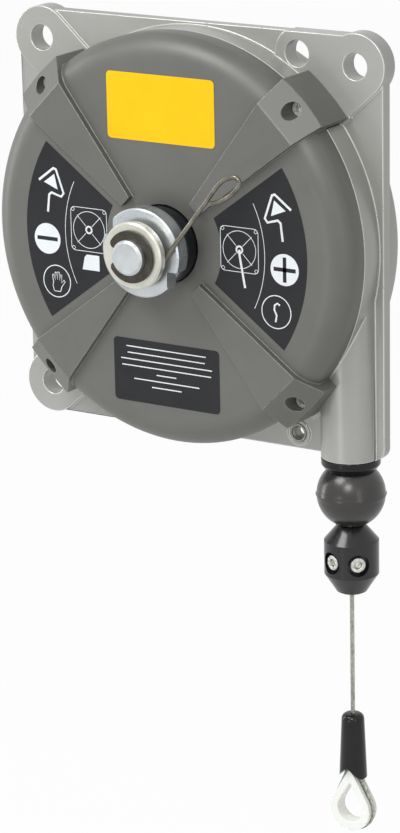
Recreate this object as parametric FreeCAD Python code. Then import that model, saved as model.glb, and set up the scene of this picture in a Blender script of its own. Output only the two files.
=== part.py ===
"""Spring tool balancer: a rope drum turned by a power spring in a cast housing.

Built in millimetres about the drum axis, which runs along Y with the front at -Y.
Every sub-part is moved so that the origin is the middle of the suspension hole.
"""
import FreeCAD
import Part
import math
import os

V = FreeCAD.Vector
os.makedirs("parts", exist_ok=True)

# ---- clearances -------------------------------------------------------------
SEAT = 0.02            # between faces that are fastened together
RUN = 0.06             # radial, on running fits
GAP = 0.3              # between pieces that move past each other
PAST = 1.0             # how far a cutting shape runs past the face it opens

# ---- back plate, lugs and holes ----------------------------------------------
HOLE_PITCH_X = 238.0   # lug holes, across
HOLE_PITCH_Z = 236.0   # lug holes, up
HOLE_R = 8.5
LUG_R = 21.0
LUG_THICK = 14.0
PAD_ANGLE = 42.0       # slope of the raised pads that run in from the lugs
PAD_LENGTH = 46.0
SAFETY_HOLE_IN = 42.0  # second hole of the top right lug, in from the first
SAFETY_HOLE_UP = 5.0
SAFETY_LUG_R = 16.3
PLATE_PAST_LEFT = 18.0   # plate edges, out from the lug holes
PLATE_PAST_RIGHT = 18.7
PLATE_PAST_TOP = 19.0
PLATE_PAST_BOTTOM = 19.3
PLATE_LUG_CORNER = 19.0  # plate corners that lie under a lug
PLATE_CORNER = 8.0
PLATE_THICK = 8.0
PAD_PROUD = 2.0        # pads and lugs stand this far in front of the plate
CORNER_BUSH_LEFT = 45.0  # from the low right corner's lug pitch
CORNER_BUSH_LOW = 8.5
CORNER_BUSH_R = 6.2
CORNER_BUSH_BORE = 3.3
CORNER_BUSH_CHAMFER = 1.4
CORNER_BUSH_FRONT = 0.4
CORNER_BUSH_STEP = 1.0
CORNER_BUSH_WALL = 2.5   # of the boss round the bush
CORNER_BUSH_PROUD = 1.2  # boss in front of the plate

# ---- round housing -------------------------------------------------------------
RING_R = 135.0         # ring wall and cover rim
RING_WALL = 8.0
JOINT_Y = -17.0        # where cover and ring wall meet
REAR_STEP = 3.0        # round back, in from the ring wall
REAR_Y = 35.0
REAR_WALL = 4.0
REAR_CHAMFER = 4.0
BACK_RIB_THICK = 5.0
BACK_RIB_PROUD = 2.5
BACK_RIB_COUNT = 8
BACK_RIB_SHORT = 6.0   # ribs end this far inside the chamfer
AXLE_BOSS_R = 24.0

# ---- cover ----------------------------------------------------------------------
FACE_Y = -40.4
BEVEL_WIDE = 17.0      # from the flat face out to the rim
BEVEL_BULGE = 0.66     # of the bevel's width, where its arc passes
RIM_Y = -29.3
COVER_WALL = 3.5
SPIGOT_FIT = 0.2
SPIGOT_LENGTH = 5.0
SPIGOT_WALL = 3.2
COVER_HOLE_R = 25.9
COVER_BOSS_LENGTH = 9.0
COVER_BOSS_WALL = 6.0
COVER_BUSH_WALL = 3.0
CAVITY_SHORT = 4.0     # flat of the cavity, in from the face's edge
RIB_TOP_Y = -45.0
RIB_START = 36.5
RIB_PAST_FACE = 5.0    # crease of the arm, out from the flat face
RIB_PAST_RING = 7.0    # arm's end, out from the ring wall
RIB_START_HALF = 4.5
RIB_END_HALF = 20.0
RIB_END_Y = -30.8      # front of the arm at its end
RIB_SEAT_PAST = 1.5    # plate seat, round the arm's end block
SCREW_EDGE = 8.4       # cover screws, in from the arm's end
HEX = 6
SCREW_SHANK_R = 3.0    # M6
SCREW_HEAD_R = 5.0
SCREW_HEAD_HEIGHT = 6.0
SCREW_SOCKET = 2.9     # hexagon socket, centre to corner
SCREW_SOCKET_DEEP = 3.2
SCREW_SEAT_Y = -21.0
SCREW_BITE = 10.0      # thread length in the housing
POST_R = 6.0           # housing posts that take the cover screws

# ---- labels ----------------------------------------------------------------------
LABEL_THICK = 0.3
LABEL_HALF_WIDTH = 40.6
UPPER_LABEL_EDGE = 8.4   # in from the flat face's edge
LOWER_LABEL_EDGE = 9.6
UPPER_LABEL_HEIGHT = 43.6
LOWER_LABEL_HEIGHT = 42.4
LABEL_CORNER = 3.0
SECTOR_IN_R = 44.0
SECTOR_EDGE = 11.0
SECTOR_POINT = 9.5     # where the sector's two edges would meet
SECTOR_HALF_ANGLE = 36.4

# ---- axle and adjusting hub ---------------------------------------------------------
AXLE_R = 11.5
AXLE_FRONT = -84.1
AXLE_CHAMFER = 1.6
AXLE_SHANK_R = 9.0
AXLE_WASHER_R = 17.0
AXLE_WASHER_THICK = 2.5
AXLE_NUT_R = 15.6      # hexagon, centre to corner
AXLE_NUT_HEIGHT = 10.0
AXLE_END = 51.0
KEY_HALF_WIDTH = 2.0
KEY_HALF_LENGTH = 3.0
KEY_DEEP = 2.2
KEY_PROUD = 1.5
CLIP_THICK = 2.0
CLIP_DEPTH = 1.4
CLIP_R = 17.0
CLIP_END_R = 3.2
CLIP_END_ANGLE = 34.0  # of the ring's two ends, from its gap's middle
COLLAR_R = 22.0
COLLAR_FRONT = -77.6
COLLAR_THICK = 5.6
COLLAR_CHAMFER = 1.2
NOSE_R = 15.2
WIRE_R = 1.5
SPRING_TURNS = 3
SPRING_AIR = 0.12      # between two turns of the brake spring
COIL_AIR = 0.2         # in front of the brake spring's first turn
FLANGE_R = 29.0
FLANGE_FRONT = -67.9
FLANGE_THICK = 11.0
EDGE = 1.0             # chamfer of the flange's edge
DISH_AIR = 0.6         # round the brake spring's coil in the flange
NOTCH_X = 20.0
NOTCH_Z = 10.0
HUB_R = 25.45
ARBOR_R = 17.5         # seat of both ball bearings
ARBOR_SHOULDER = 3.0
ARBOR_END = 26.0
HOOK_DEEP = 2.5        # slot for the power spring's inner end
HOOK_HALF = 1.2
ARBOR_CLIP_THICK = 1.2
ARBOR_CLIP_DEEP = 0.8
ARBOR_CLIP_PROUD = 2.2
ARBOR_CLIP_MOUTH = 4.0
BRAKE_TAIL = 66.0
BRAKE_TAIL_ANGLE = 52.0
EYE_RUN = 10.0         # straight side of the finger eye
EYE_CROWN_R = 20.5     # its three arcs and how far each one turns
EYE_CROWN_TURN = 42.0
EYE_TIP_R = 3.6
EYE_TIP_TURN = 138.0
EYE_BACK_R = 35.5
EYE_BACK_TURN = 40.5    # stops just short of the tail

# ---- bearings ------------------------------------------------------------------------
BEARING_R = 27.5
BEARING_WIDTH = 10.0
RACE = 2.6
BALLS = 12
BALL_R = 2.9
CAGE_WIDTH = 8.0
CAGE_THICK = 2.0
FRONT_BEARING_Y = -30.0
REAR_BEARING_Y = 14.5

# ---- rope, drum and power spring -------------------------------------------------------
ROPE_R = 1.5
TURN_COUNT = 4
TURN_FIRST_Y = -6.0
TURN_PITCH = 6.0
TURN_RISE = 4.0        # each turn lies this much further out, which keeps the pull even
DRUM_CLEAR = 5.4       # drum's largest flange, in from the chamber wall
GROOVE_AIR = 0.15
LEAD_OUT = 1.6         # where the rope leaves its first groove
LEAD_BACK = 1.4
LEAD_LOW = 26.0
LEAD_BEND = 12.0       # its bend above the exit bush, and the bend's half length
LEAD_REACH = 7.0
ROPE_IN_BUSH = 4.0     # rope that is fixed inside the bush
ROPE_IN_BALL = 4.0     # load rope's end, below the ball's top
ROPE_JOIN = 0.1
DRUM_WEB_Y = -20.0
DRUM_WEB = 3.0
DRUM_WEB_IN = 9.0      # web's outer edge, in from the first groove
DRUM_BOSS = 5.5
DRUM_BOSS_LIP = 5.0    # shoulder in front of each bearing, over the arbor
POCKET_WALL = 10.0
POCKET_CLEAR = 13.0    # spring pocket's wall, in from the first groove
POCKET_END = 12.0
DRUM_RIM = 4.5
DRUM_FLANGE = 4.6
DRUM_FLANGE_THICK = 2.5
DRUM_PLATE_THICK = 2.5
PLATE_SCREWS = 6
PLATE_SCREW_R = 2.0    # M4
PLATE_SCREW_HEAD_R = 4.2
PLATE_SCREW_HEAD = 3.0
PLATE_SCREW_BITE = 8.0
PLATE_SCREW_CROSS = 2.4
PLATE_SCREW_SLOT = 1.0
CASE_WALL = 1.5
CASE_MOUTH = 4.0       # opening of case and lid, round the arbor
CASE_AIR = 0.4
SPRING_WIDTH = 25.0
STRIP = 1.2            # power spring strip
COILS = 14
ANCHOR_R = 3.6
ANCHOR_LENGTH = 9.0

# ---- rope tube -----------------------------------------------------------------
TUBE_PAST_TURN = 7.0   # rope's line, out from the drum's first groove
TUBE_Y = 3.5
TUBE_R = 19.4
TUBE_BORE = 15.5

# ---- stop ball, clamp and load end (heights below the plate's low edge) --------------------
BUSH_LIP = 4.4
BUSH_HEIGHT = 9.2
BUSH_TIP_R = 16.0
BUSH_SPIGOT = 15.0
BUSH_FUNNEL = 2.0
BALL_STOP_R = 22.6
BALL_STOP_LOW = 25.1
FLASH = 0.6
FLASH_HALF = 0.4
CLAMP_CUP = 1.5        # depth of the clamp's seat round the ball
CLAMP_NECK_R = 9.2
CLAMP_R = 18.0
CLAMP_SHOULDER_LOW = 56.7
CLAMP_WAIST_LOW = 79.3
CLAMP_BOTTOM_LOW = 93.0
CLAMP_BOTTOM_R = 8.6
CLAMP_EDGE = 1.5
CLAMP_SCREW_LOW = 69.5
CLAMP_POCKET_R = 7.4
CLAMP_HEAD_IN = 12.0
CLAMP_HEAD_HEIGHT = 4.5
CLAMP_SOCKET_R = 2.6
CLAMP_SOCKET_DEEP = 2.5
CLAMP_TURN = 12.5      # middle of the front pair of screws, from the front
CLAMP_SPREAD = 32.5    # each screw, to either side of its pair's middle
CORE_R = 5.0
CORE_HALF = 9.0
CORE_SLIT = 0.8
SLEEVE_TOP_LOW = 178.0
SLEEVE_BOTTOM_LOW = 222.9
SLEEVE_TOP_R = 7.6
SLEEVE_BOTTOM_R = 9.3
SLEEVE_ROUND = 4.0     # rounding of the sleeve's top edge
SLEEVE_STEPS = 4
SLEEVE_PEAK = 0.5      # top of the sleeve's mouth, below the loop's top
SLEEVE_SPREAD = 9.5    # half width of the mouth at its low end
FERRULE_TOP_LOW = 188.7
FERRULE_BOTTOM_LOW = 212.7
FERRULE_WIDE = 5.2
FERRULE_DEEP = 3.6
FERRULE_SOCKET = 2.0   # rope's end inside the ferrule
LOOP_R = 14.4          # rope round the thimble, to the rope's middle
LOOP_LOW = 245.6
LOOP_TOP_LOW = 214.7
SLEEVE_RELIEF = 8.5    # room inside the sleeve above the loop
STRAND_APART = 1.75    # half the distance between the two strands in the ferrule
THIMBLE_R = 14.9
THIMBLE_THICK = 10.4
THIMBLE_TIP = 2.2      # thimble's top, below the loop's
BED_AIR = 0.1
BED_TIP = 6.5
TIP_HALF = 0.6         # half width of every teardrop's blunt tip
EYE_R = 9.4
EYE_UP = 0.5           # eye's round, above the loop's
EYE_TIP = 12.5         # eye's top, below the loop's

# ---- what follows from the sizes above -------------------------------------------------
AXIS_X = -HOLE_PITCH_X / 2
AXIS_Y = -LUG_THICK / 2
AXIS_Z = -HOLE_PITCH_Z / 2
PLATE_LEFT = HOLE_PITCH_X / 2 + PLATE_PAST_LEFT
PLATE_RIGHT = HOLE_PITCH_X / 2 + PLATE_PAST_RIGHT
PLATE_TOP = HOLE_PITCH_Z / 2 + PLATE_PAST_TOP
PLATE_BOTTOM = HOLE_PITCH_Z / 2 + PLATE_PAST_BOTTOM
PLATE_FRONT = PAD_PROUD
PLATE_BACK = PLATE_FRONT + PLATE_THICK
CORNER_BUSH_X = HOLE_PITCH_X / 2 - CORNER_BUSH_LEFT
CORNER_BUSH_Z = -HOLE_PITCH_Z / 2 - CORNER_BUSH_LOW
CHAMBER_R = RING_R - RING_WALL
REAR_R = RING_R - REAR_STEP
REAR_INSIDE = REAR_Y - REAR_WALL
FACE_R = RING_R - BEVEL_WIDE
SPIGOT_R = CHAMBER_R - SPIGOT_FIT
CAVITY_R = SPIGOT_R - SPIGOT_WALL
CAVITY_FLAT_R = FACE_R - CAVITY_SHORT
RIB_CREASE = FACE_R + RIB_PAST_FACE
RIB_END_R = RING_R + RIB_PAST_RING
SCREW_RING_R = RIB_END_R - SCREW_EDGE
SCREW_POCKET_R = SCREW_HEAD_R + GAP
SPRING_COIL_R = NOSE_R + RUN + WIRE_R
SPRING_PITCH = 2 * WIRE_R + SPRING_AIR
DISH_R = SPRING_COIL_R + WIRE_R + DISH_AIR
FLANGE_BACK = FLANGE_FRONT + FLANGE_THICK
COLLAR_BACK = COLLAR_FRONT + COLLAR_THICK
SPRING_FRONT_Y = COLLAR_BACK + WIRE_R + COIL_AIR
SPRING_BACK_Y = SPRING_FRONT_Y + SPRING_TURNS * SPRING_PITCH
DISH_Y = SPRING_BACK_Y + WIRE_R + GAP
NOSE_MEET_Y = (SPRING_FRONT_Y + SPRING_BACK_Y) / 2
TURN_LAST = TURN_COUNT - 1
TURN_FIRST_R = CHAMBER_R - DRUM_CLEAR - DRUM_FLANGE - TURN_LAST * TURN_RISE
POCKET_R = TURN_FIRST_R - POCKET_CLEAR - POCKET_WALL
CASE_R = POCKET_R - SEAT
CASE_FRONT = DRUM_WEB_Y + DRUM_WEB + SEAT
CASE_BACK = POCKET_END - SEAT
STRIP_FRONT = CASE_FRONT + CASE_WALL + CASE_AIR
STRIP_BACK = STRIP_FRONT + SPRING_WIDTH
TUBE_X = TURN_FIRST_R + TUBE_PAST_TURN
TUBE_BOTTOM = -PLATE_BOTTOM
BUSH_TOP = TUBE_BOTTOM + BUSH_SPIGOT
BALL_STOP_Z = TUBE_BOTTOM - BALL_STOP_LOW
CLAMP_SHOULDER_Z = TUBE_BOTTOM - CLAMP_SHOULDER_LOW
CLAMP_WAIST_Z = TUBE_BOTTOM - CLAMP_WAIST_LOW
CLAMP_BOTTOM_Z = TUBE_BOTTOM - CLAMP_BOTTOM_LOW
CLAMP_SCREW_Z = TUBE_BOTTOM - CLAMP_SCREW_LOW
SLEEVE_TOP_Z = TUBE_BOTTOM - SLEEVE_TOP_LOW
SLEEVE_BOTTOM_Z = TUBE_BOTTOM - SLEEVE_BOTTOM_LOW
FERRULE_TOP_Z = TUBE_BOTTOM - FERRULE_TOP_LOW
FERRULE_BOTTOM_Z = TUBE_BOTTOM - FERRULE_BOTTOM_LOW
LOOP_Z = TUBE_BOTTOM - LOOP_LOW
LOOP_TOP_Z = TUBE_BOTTOM - LOOP_TOP_LOW
EYE_Z = LOOP_Z + EYE_UP
EYE_TIP_Z = LOOP_TOP_Z - EYE_TIP


# ---- shape helpers -----------------------------------------------------------------
def turned(outline):
    """A closed outline of (radius, y) turned about the drum axis."""
    points = [V(r, y, 0) for r, y in outline]
    face = Part.Face(Part.makePolygon(points + points[:1]))
    return face.revolve(V(0, 0, 0), V(0, 1, 0), 360)


def turned_upright(outline):
    """A closed outline of (radius, z) turned about the rope's line."""
    points = [V(TUBE_X + r, TUBE_Y, z) for r, z in outline]
    face = Part.Face(Part.makePolygon(points + points[:1]))
    return face.revolve(V(TUBE_X, TUBE_Y, 0), V(0, 0, 1), 360)


def disc(radius, y0, y1, x=0.0, z=0.0):
    return Part.makeCylinder(radius, y1 - y0, V(x, y0, z), V(0, 1, 0))


def ring(outer, inner, y0, y1, x=0.0, z=0.0):
    return disc(outer, y0, y1, x, z).cut(disc(inner, y0 - PAST, y1 + PAST, x, z))


def upright(radius, z0, z1):
    return Part.makeCylinder(radius, z1 - z0, V(TUBE_X, TUBE_Y, z0))


def slab(outline, y0, y1):
    """A flat outline of (x, z) points, from y0 back to y1."""
    points = [V(x, y0, z) for x, z in outline]
    face = Part.Face(Part.makePolygon(points + points[:1]))
    return face.extrude(V(0, y1 - y0, 0))


def block(x0, x1, y0, y1, z0, z1):
    return Part.makeBox(x1 - x0, y1 - y0, z1 - z0, V(x0, y0, z0))


def about_axis(shape, degrees):
    turned_copy = shape.copy()
    turned_copy.rotate(V(0, 0, 0), V(0, 1, 0), degrees)
    return turned_copy


def about_rope(shape, degrees):
    turned_copy = shape.copy()
    turned_copy.rotate(V(TUBE_X, TUBE_Y, 0), V(0, 0, 1), degrees)
    return turned_copy


def joined(shapes):
    return shapes[0].multiFuse(shapes[1:]).removeSplitter()


def wire_along(path, radius, start, direction):
    """A round bar of the given radius swept along a path."""
    circle = Part.Wire([Part.makeCircle(radius, start, direction)])
    return path.makePipeShell([circle], True, False)


def export(node, shape):
    placed = shape.copy()
    placed.translate(V(AXIS_X, AXIS_Y, AXIS_Z))
    placed.exportStep("parts/" + node + ".step")


# ---- housing --------------------------------------------------------------------------
def lug_centres():
    half_x = HOLE_PITCH_X / 2
    half_z = HOLE_PITCH_Z / 2
    return {"top_left": (-half_x, half_z), "top_right": (half_x, half_z), "low_left": (-half_x, -half_z)}


def safety_hole():
    x, z = lug_centres()["top_right"]
    return x - SAFETY_HOLE_IN, z + SAFETY_HOLE_UP


def pad(x, z):
    """Raised strip that runs from a lug in towards the ring wall."""
    slope = math.radians(PAD_ANGLE)
    along_x = -math.copysign(math.cos(slope), x)
    along_z = -math.copysign(math.sin(slope), z)
    side_x = -along_z * LUG_R
    side_z = along_x * LUG_R
    end_x = x + along_x * PAD_LENGTH
    end_z = z + along_z * PAD_LENGTH
    corners = [(x + side_x, z + side_z), (end_x + side_x, end_z + side_z)]
    corners += [(end_x - side_x, end_z - side_z), (x - side_x, z - side_z)]
    return slab(corners, 0, PLATE_BACK)


def top_right_bridge():
    """Web between the suspension hole's lug and the safety hole's."""
    x, z = lug_centres()["top_right"]
    safe_x, safe_z = safety_hole()
    left = safe_x - SAFETY_LUG_R
    corners = [(safe_x, PLATE_TOP), (x, PLATE_TOP)]
    corners += [(x, z - LUG_R), (safe_x, z - 2 * LUG_R), (left, z - LUG_R), (left, safe_z)]
    round_end = disc(SAFETY_LUG_R, 0, LUG_THICK, safe_x, safe_z)
    below = block(left - PAST, x, -PAST, LUG_THICK + PAST, z - 2 * LUG_R, PLATE_TOP)
    return slab(corners, 0, LUG_THICK).fuse(round_end.common(below))


def edges_along_y(shape):
    """Straight edges of a slab that run from its front to its back."""
    boxes = [(e, e.BoundBox) for e in shape.Edges]
    return [e for e, box in boxes if box.YLength > box.XLength + box.ZLength]


def back_plate():
    plate = block(-PLATE_LEFT, PLATE_RIGHT, PLATE_FRONT, PLATE_BACK, -PLATE_BOTTOM, PLATE_TOP)
    corners = [(e, e.CenterOfMass) for e in edges_along_y(plate)]
    under_lugs = [e for e, c in corners if c.x < 0 or c.z > 0]
    plate = plate.makeFillet(PLATE_LUG_CORNER, under_lugs)
    lone = [e for e in edges_along_y(plate) if e.CenterOfMass.x > 0 and e.CenterOfMass.z < -PLATE_CORNER]
    return plate.makeFillet(PLATE_CORNER, lone)


DIAGONALS = [45, 135, 225, 315]


def arm_outline(margin):
    """Tapered outline of one cover arm along +X, let out by a margin on each side."""
    slope = (RIB_END_HALF - RIB_START_HALF) / (RIB_END_R - RIB_START)
    reach = 2 * RIB_PAST_RING
    near = RIB_START_HALF + margin
    far = RIB_END_HALF + slope * reach + margin
    end = RIB_END_R + reach
    return [(RIB_START, near), (end, far), (end, -far), (RIB_START, -near)]


def corner_leg(margin, r_in, r_out, y0, y1):
    """Part of a ring that stands on one corner's diagonal, before it is turned there."""
    return slab(arm_outline(margin), y0, y1).common(ring(r_out, r_in, y0, y1))


def four_corners(shape):
    return [about_axis(shape, a) for a in DIAGONALS]


def screw_places():
    turns = [math.radians(a) for a in DIAGONALS]
    return [(SCREW_RING_R * math.cos(t), SCREW_RING_R * math.sin(t)) for t in turns]


def rear_housing():
    lugs = [disc(LUG_R, 0, LUG_THICK, x, z) for x, z in lug_centres().values()]
    pads = [pad(x, z) for x, z in lug_centres().values()]
    lugs.append(top_right_bridge())
    walls = [disc(RING_R, JOINT_Y, PLATE_FRONT), rear_casing()]
    tube = upright(TUBE_R, TUBE_BOTTOM, 0)
    boss_front = PLATE_FRONT - CORNER_BUSH_PROUD
    boss_r = CORNER_BUSH_R + CORNER_BUSH_WALL
    boss = disc(boss_r, boss_front, PLATE_BACK, CORNER_BUSH_X, CORNER_BUSH_Z)
    seat = corner_leg(RIB_SEAT_PAST, CHAMBER_R, RIB_END_R + RIB_SEAT_PAST, 0, PLATE_BACK)
    posts = [disc(POST_R, JOINT_Y, PLATE_BACK, x, z) for x, z in screw_places()]
    notch = corner_leg(GAP, CHAMBER_R - PAST, RIB_END_R + RIB_SEAT_PAST + PAST, JOINT_Y - PAST, 0)
    solid = joined([back_plate()] + lugs + pads + walls + four_corners(seat))
    solid = joined([solid.cut(Part.makeCompound(four_corners(notch))), tube, boss] + posts)
    return solid.cut(Part.makeCompound(housing_hollows())).fuse(axle_boss()).removeSplitter()


def rear_casing():
    """Round back of the housing with stiffening ribs on its outside."""
    outline = [(0, PLATE_FRONT), (REAR_R, PLATE_FRONT), (REAR_R, REAR_Y - REAR_CHAMFER)]
    outline += [(REAR_R - REAR_CHAMFER, REAR_Y), (0, REAR_Y)]
    reach = REAR_R - REAR_CHAMFER - BACK_RIB_SHORT
    half = BACK_RIB_THICK / 2
    back = REAR_Y + BACK_RIB_PROUD
    bar = block(AXLE_BOSS_R - PAST, reach, REAR_Y - PAST, back, -half, half)
    step = 360 / BACK_RIB_COUNT
    bars = [about_axis(bar, step * (i + 0.5)) for i in range(BACK_RIB_COUNT)]
    collar = ring(AXLE_BOSS_R, AXLE_WASHER_R + PAST, REAR_Y - PAST, back)
    return joined([turned(outline), collar] + bars)


def housing_hollows():
    safe_x, safe_z = safety_hole()
    hole_back = LUG_THICK + PAST
    thread_front = JOINT_Y - PAST
    thread_r = SCREW_SHANK_R + SEAT
    cuts = [disc(CHAMBER_R, JOINT_Y - PAST, REAR_INSIDE)]
    cuts += [disc(HOLE_R, -PAST, hole_back, x, z) for x, z in lug_centres().values()]
    cuts.append(disc(HOLE_R, -PAST, hole_back, safe_x, safe_z))
    cuts.append(upright(TUBE_BORE, TUBE_BOTTOM - PAST, 0))
    cuts.append(disc(AXLE_SHANK_R + SEAT, REAR_INSIDE - PAST, REAR_Y + PAST))
    cuts.append(disc(CORNER_BUSH_R, -PAST, PLATE_BACK + PAST, CORNER_BUSH_X, CORNER_BUSH_Z))
    cuts += [disc(thread_r, thread_front, JOINT_Y + SCREW_BITE, x, z) for x, z in screw_places()]
    return cuts


def axle_boss():
    """Boss inside the back wall that takes the axle's shoulder."""
    return ring(AXLE_BOSS_R, AXLE_SHANK_R + SEAT, ARBOR_END + GAP, REAR_Y)


def corner_bush():
    """Flush metal bush in the plate's low edge, its bore opened at the front."""
    outer = CORNER_BUSH_R - SEAT
    mouth = CORNER_BUSH_BORE + CORNER_BUSH_CHAMFER
    front = CORNER_BUSH_FRONT
    step = front + CORNER_BUSH_STEP
    outline = [(mouth, front), (outer, front), (outer, PLATE_BACK), (CORNER_BUSH_BORE, PLATE_BACK)]
    outline += [(CORNER_BUSH_BORE, step + CORNER_BUSH_CHAMFER), (mouth, step)]
    bush = turned(outline)
    bush.translate(V(CORNER_BUSH_X, 0, CORNER_BUSH_Z))
    return bush


# ---- cover ----------------------------------------------------------------------------------
def cover_shell():
    """Dished cover: flat face, soft bevel, straight rim and a spigot that centres it."""
    edge_points = [V(COVER_HOLE_R, FACE_Y, 0), V(FACE_R, FACE_Y, 0)]
    bulge = V(FACE_R + BEVEL_BULGE * BEVEL_WIDE, FACE_Y + (1 - BEVEL_BULGE) * (RIM_Y - FACE_Y), 0)
    rim = [V(RING_R, RIM_Y, 0), V(RING_R, JOINT_Y, 0), V(SPIGOT_R, JOINT_Y, 0)]
    rim += [V(SPIGOT_R, JOINT_Y + SPIGOT_LENGTH, 0), V(CAVITY_R, JOINT_Y + SPIGOT_LENGTH, 0)]
    rim += [V(CAVITY_R, RIM_Y + PAST, 0), V(CAVITY_FLAT_R, FACE_Y + COVER_WALL, 0)]
    pocket_r = COVER_HOLE_R + COVER_BUSH_WALL
    boss_r = pocket_r + COVER_BOSS_WALL
    rim += [V(boss_r, FACE_Y + COVER_WALL, 0), V(boss_r, FACE_Y + COVER_BOSS_LENGTH, 0)]
    rim += [V(pocket_r, FACE_Y + COVER_BOSS_LENGTH, 0), V(pocket_r, FACE_Y + COVER_WALL, 0)]
    rim += [V(COVER_HOLE_R, FACE_Y + COVER_WALL, 0)]
    edges = [Part.LineSegment(edge_points[0], edge_points[1]).toShape()]
    edges.append(Part.Arc(edge_points[1], bulge, rim[0]).toShape())
    chain = rim + [edge_points[0]]
    edges += [Part.LineSegment(a, b).toShape() for a, b in zip(chain, chain[1:])]
    return Part.Face(Part.Wire(edges)).revolve(V(0, 0, 0), V(0, 1, 0), 360)


def cover_cavity():
    outline = [(0, FACE_Y + COVER_WALL), (CAVITY_FLAT_R, FACE_Y + COVER_WALL), (CAVITY_R, RIM_Y + PAST)]
    outline += [(CAVITY_R, PLATE_BACK), (0, PLATE_BACK)]
    return turned(outline)


def corner_rib():
    """One of four raised arms; its end block reaches back to the plate and takes a screw."""
    arm = slab(arm_outline(0), RIB_TOP_Y, JOINT_Y)
    leg = corner_leg(0, CHAMBER_R, RIB_END_R, JOINT_Y, 0)
    slope = (RIB_END_Y - RIB_TOP_Y) / (RIB_END_R - RIB_CREASE)
    end = RIB_END_R + RIB_PAST_RING
    wide = 2 * RIB_END_HALF
    fall = [V(RIB_CREASE, RIB_TOP_Y, 0), V(end, RIB_END_Y + slope * RIB_PAST_RING, 0)]
    fall += [V(end, RIB_TOP_Y - PAST, 0), V(RIB_CREASE, RIB_TOP_Y - PAST, 0)]
    wedge = Part.Face(Part.makePolygon(fall + fall[:1])).extrude(V(0, 0, 2 * wide))
    wedge.translate(V(0, 0, -wide))
    arm = arm.common(disc(RIB_END_R, RIB_TOP_Y - PAST, JOINT_Y)).cut(wedge)
    return arm.fuse(leg).cut(cover_cavity())


def front_cover():
    solid = joined([cover_shell()] + four_corners(corner_rib()))
    cuts = []
    for x, z in screw_places():
        cuts.append(disc(SCREW_POCKET_R, RIB_TOP_Y - PAST, SCREW_SEAT_Y, x, z))
        cuts.append(disc(SCREW_SHANK_R + GAP, RIB_TOP_Y - PAST, JOINT_Y + PAST, x, z))
        cuts.append(disc(POST_R + SEAT, JOINT_Y, PAST, x, z))
    cuts.append(upright(TUBE_R + SEAT, TUBE_BOTTOM, 0).cut(disc(CHAMBER_R, RIB_TOP_Y, REAR_Y)))
    return solid.cut(Part.makeCompound(cuts))


def cover_bush():
    """Plastic ring in the cover that centres the adjusting hub."""
    outer = COVER_HOLE_R + COVER_BUSH_WALL - SEAT
    return ring(outer, HUB_R + RUN, FACE_Y + COVER_WALL + SEAT, FACE_Y + COVER_BOSS_LENGTH)


def hexagon(radius, x=0.0, z=0.0):
    turns = [2 * math.pi * i / HEX for i in range(HEX)]
    return [(x + radius * math.cos(t), z + radius * math.sin(t)) for t in turns]


def socket_screw(head_y, seat_y, tip_y, x=0.0, z=0.0):
    """Hexagon socket screw along Y with its head towards -Y."""
    head = disc(SCREW_HEAD_R, head_y, seat_y, x, z)
    shank = disc(SCREW_SHANK_R, seat_y, tip_y, x, z)
    socket = slab(hexagon(SCREW_SOCKET, x, z), head_y - PAST, head_y + SCREW_SOCKET_DEEP)
    return head.fuse(shank).cut(socket).removeSplitter()


def cover_screws():
    seat = SCREW_SEAT_Y - SEAT
    tip = JOINT_Y + SCREW_BITE - PAST
    head = seat - SCREW_HEAD_HEIGHT
    return Part.makeCompound([socket_screw(head, seat, tip, x, z) for x, z in screw_places()])


def label(low, high):
    """Rounded rectangle stuck on the cover's face."""
    front = FACE_Y - LABEL_THICK
    plate = block(-LABEL_HALF_WIDTH, LABEL_HALF_WIDTH, front, FACE_Y, low, high)
    return plate.makeFillet(LABEL_CORNER, edges_along_y(plate))


def sector_label(side):
    """Dial sector between two ribs; side is -1 on the left and 1 on the right."""
    outer = FACE_R - SECTOR_EDGE
    reach = 2 * outer
    rise = (reach - SECTOR_POINT) * math.tan(math.radians(SECTOR_HALF_ANGLE))
    outline = [(side * SECTOR_POINT, 0), (side * reach, rise), (side * reach, -rise)]
    front = FACE_Y - LABEL_THICK
    return slab(outline, front, FACE_Y).common(ring(outer, SECTOR_IN_R, front, FACE_Y))


# ---- axle, collar and brake -------------------------------------------------------------------
def axle():
    groove = COLLAR_FRONT - CLIP_THICK
    small = AXLE_R - CLIP_DEPTH
    shoulder = ARBOR_END + GAP - SEAT
    outline = [(0, AXLE_FRONT), (AXLE_R - AXLE_CHAMFER, AXLE_FRONT)]
    outline += [(AXLE_R, AXLE_FRONT + AXLE_CHAMFER), (AXLE_R, groove)]
    outline += [(small, groove), (small, COLLAR_FRONT), (AXLE_R, COLLAR_FRONT), (AXLE_R, shoulder)]
    outline += [(AXLE_SHANK_R, shoulder), (AXLE_SHANK_R, AXLE_END - 1), (AXLE_SHANK_R - 1, AXLE_END)]
    outline += [(0, AXLE_END)]
    return turned(outline).cut(key_block(SEAT))


def key_middle():
    return (COLLAR_FRONT + NOSE_MEET_Y) / 2


def key_block(margin):
    key_y = key_middle()
    half = KEY_HALF_LENGTH + margin
    wide = KEY_HALF_WIDTH + margin
    return block(-wide, wide, key_y - half, key_y + half, AXLE_R - KEY_DEEP - margin, AXLE_R + 2 * KEY_PROUD)


def collar_key():
    """Key that stops the collar from turning on the axle."""
    return key_block(0).common(disc(AXLE_R + KEY_PROUD, AXLE_FRONT, 0))


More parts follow.
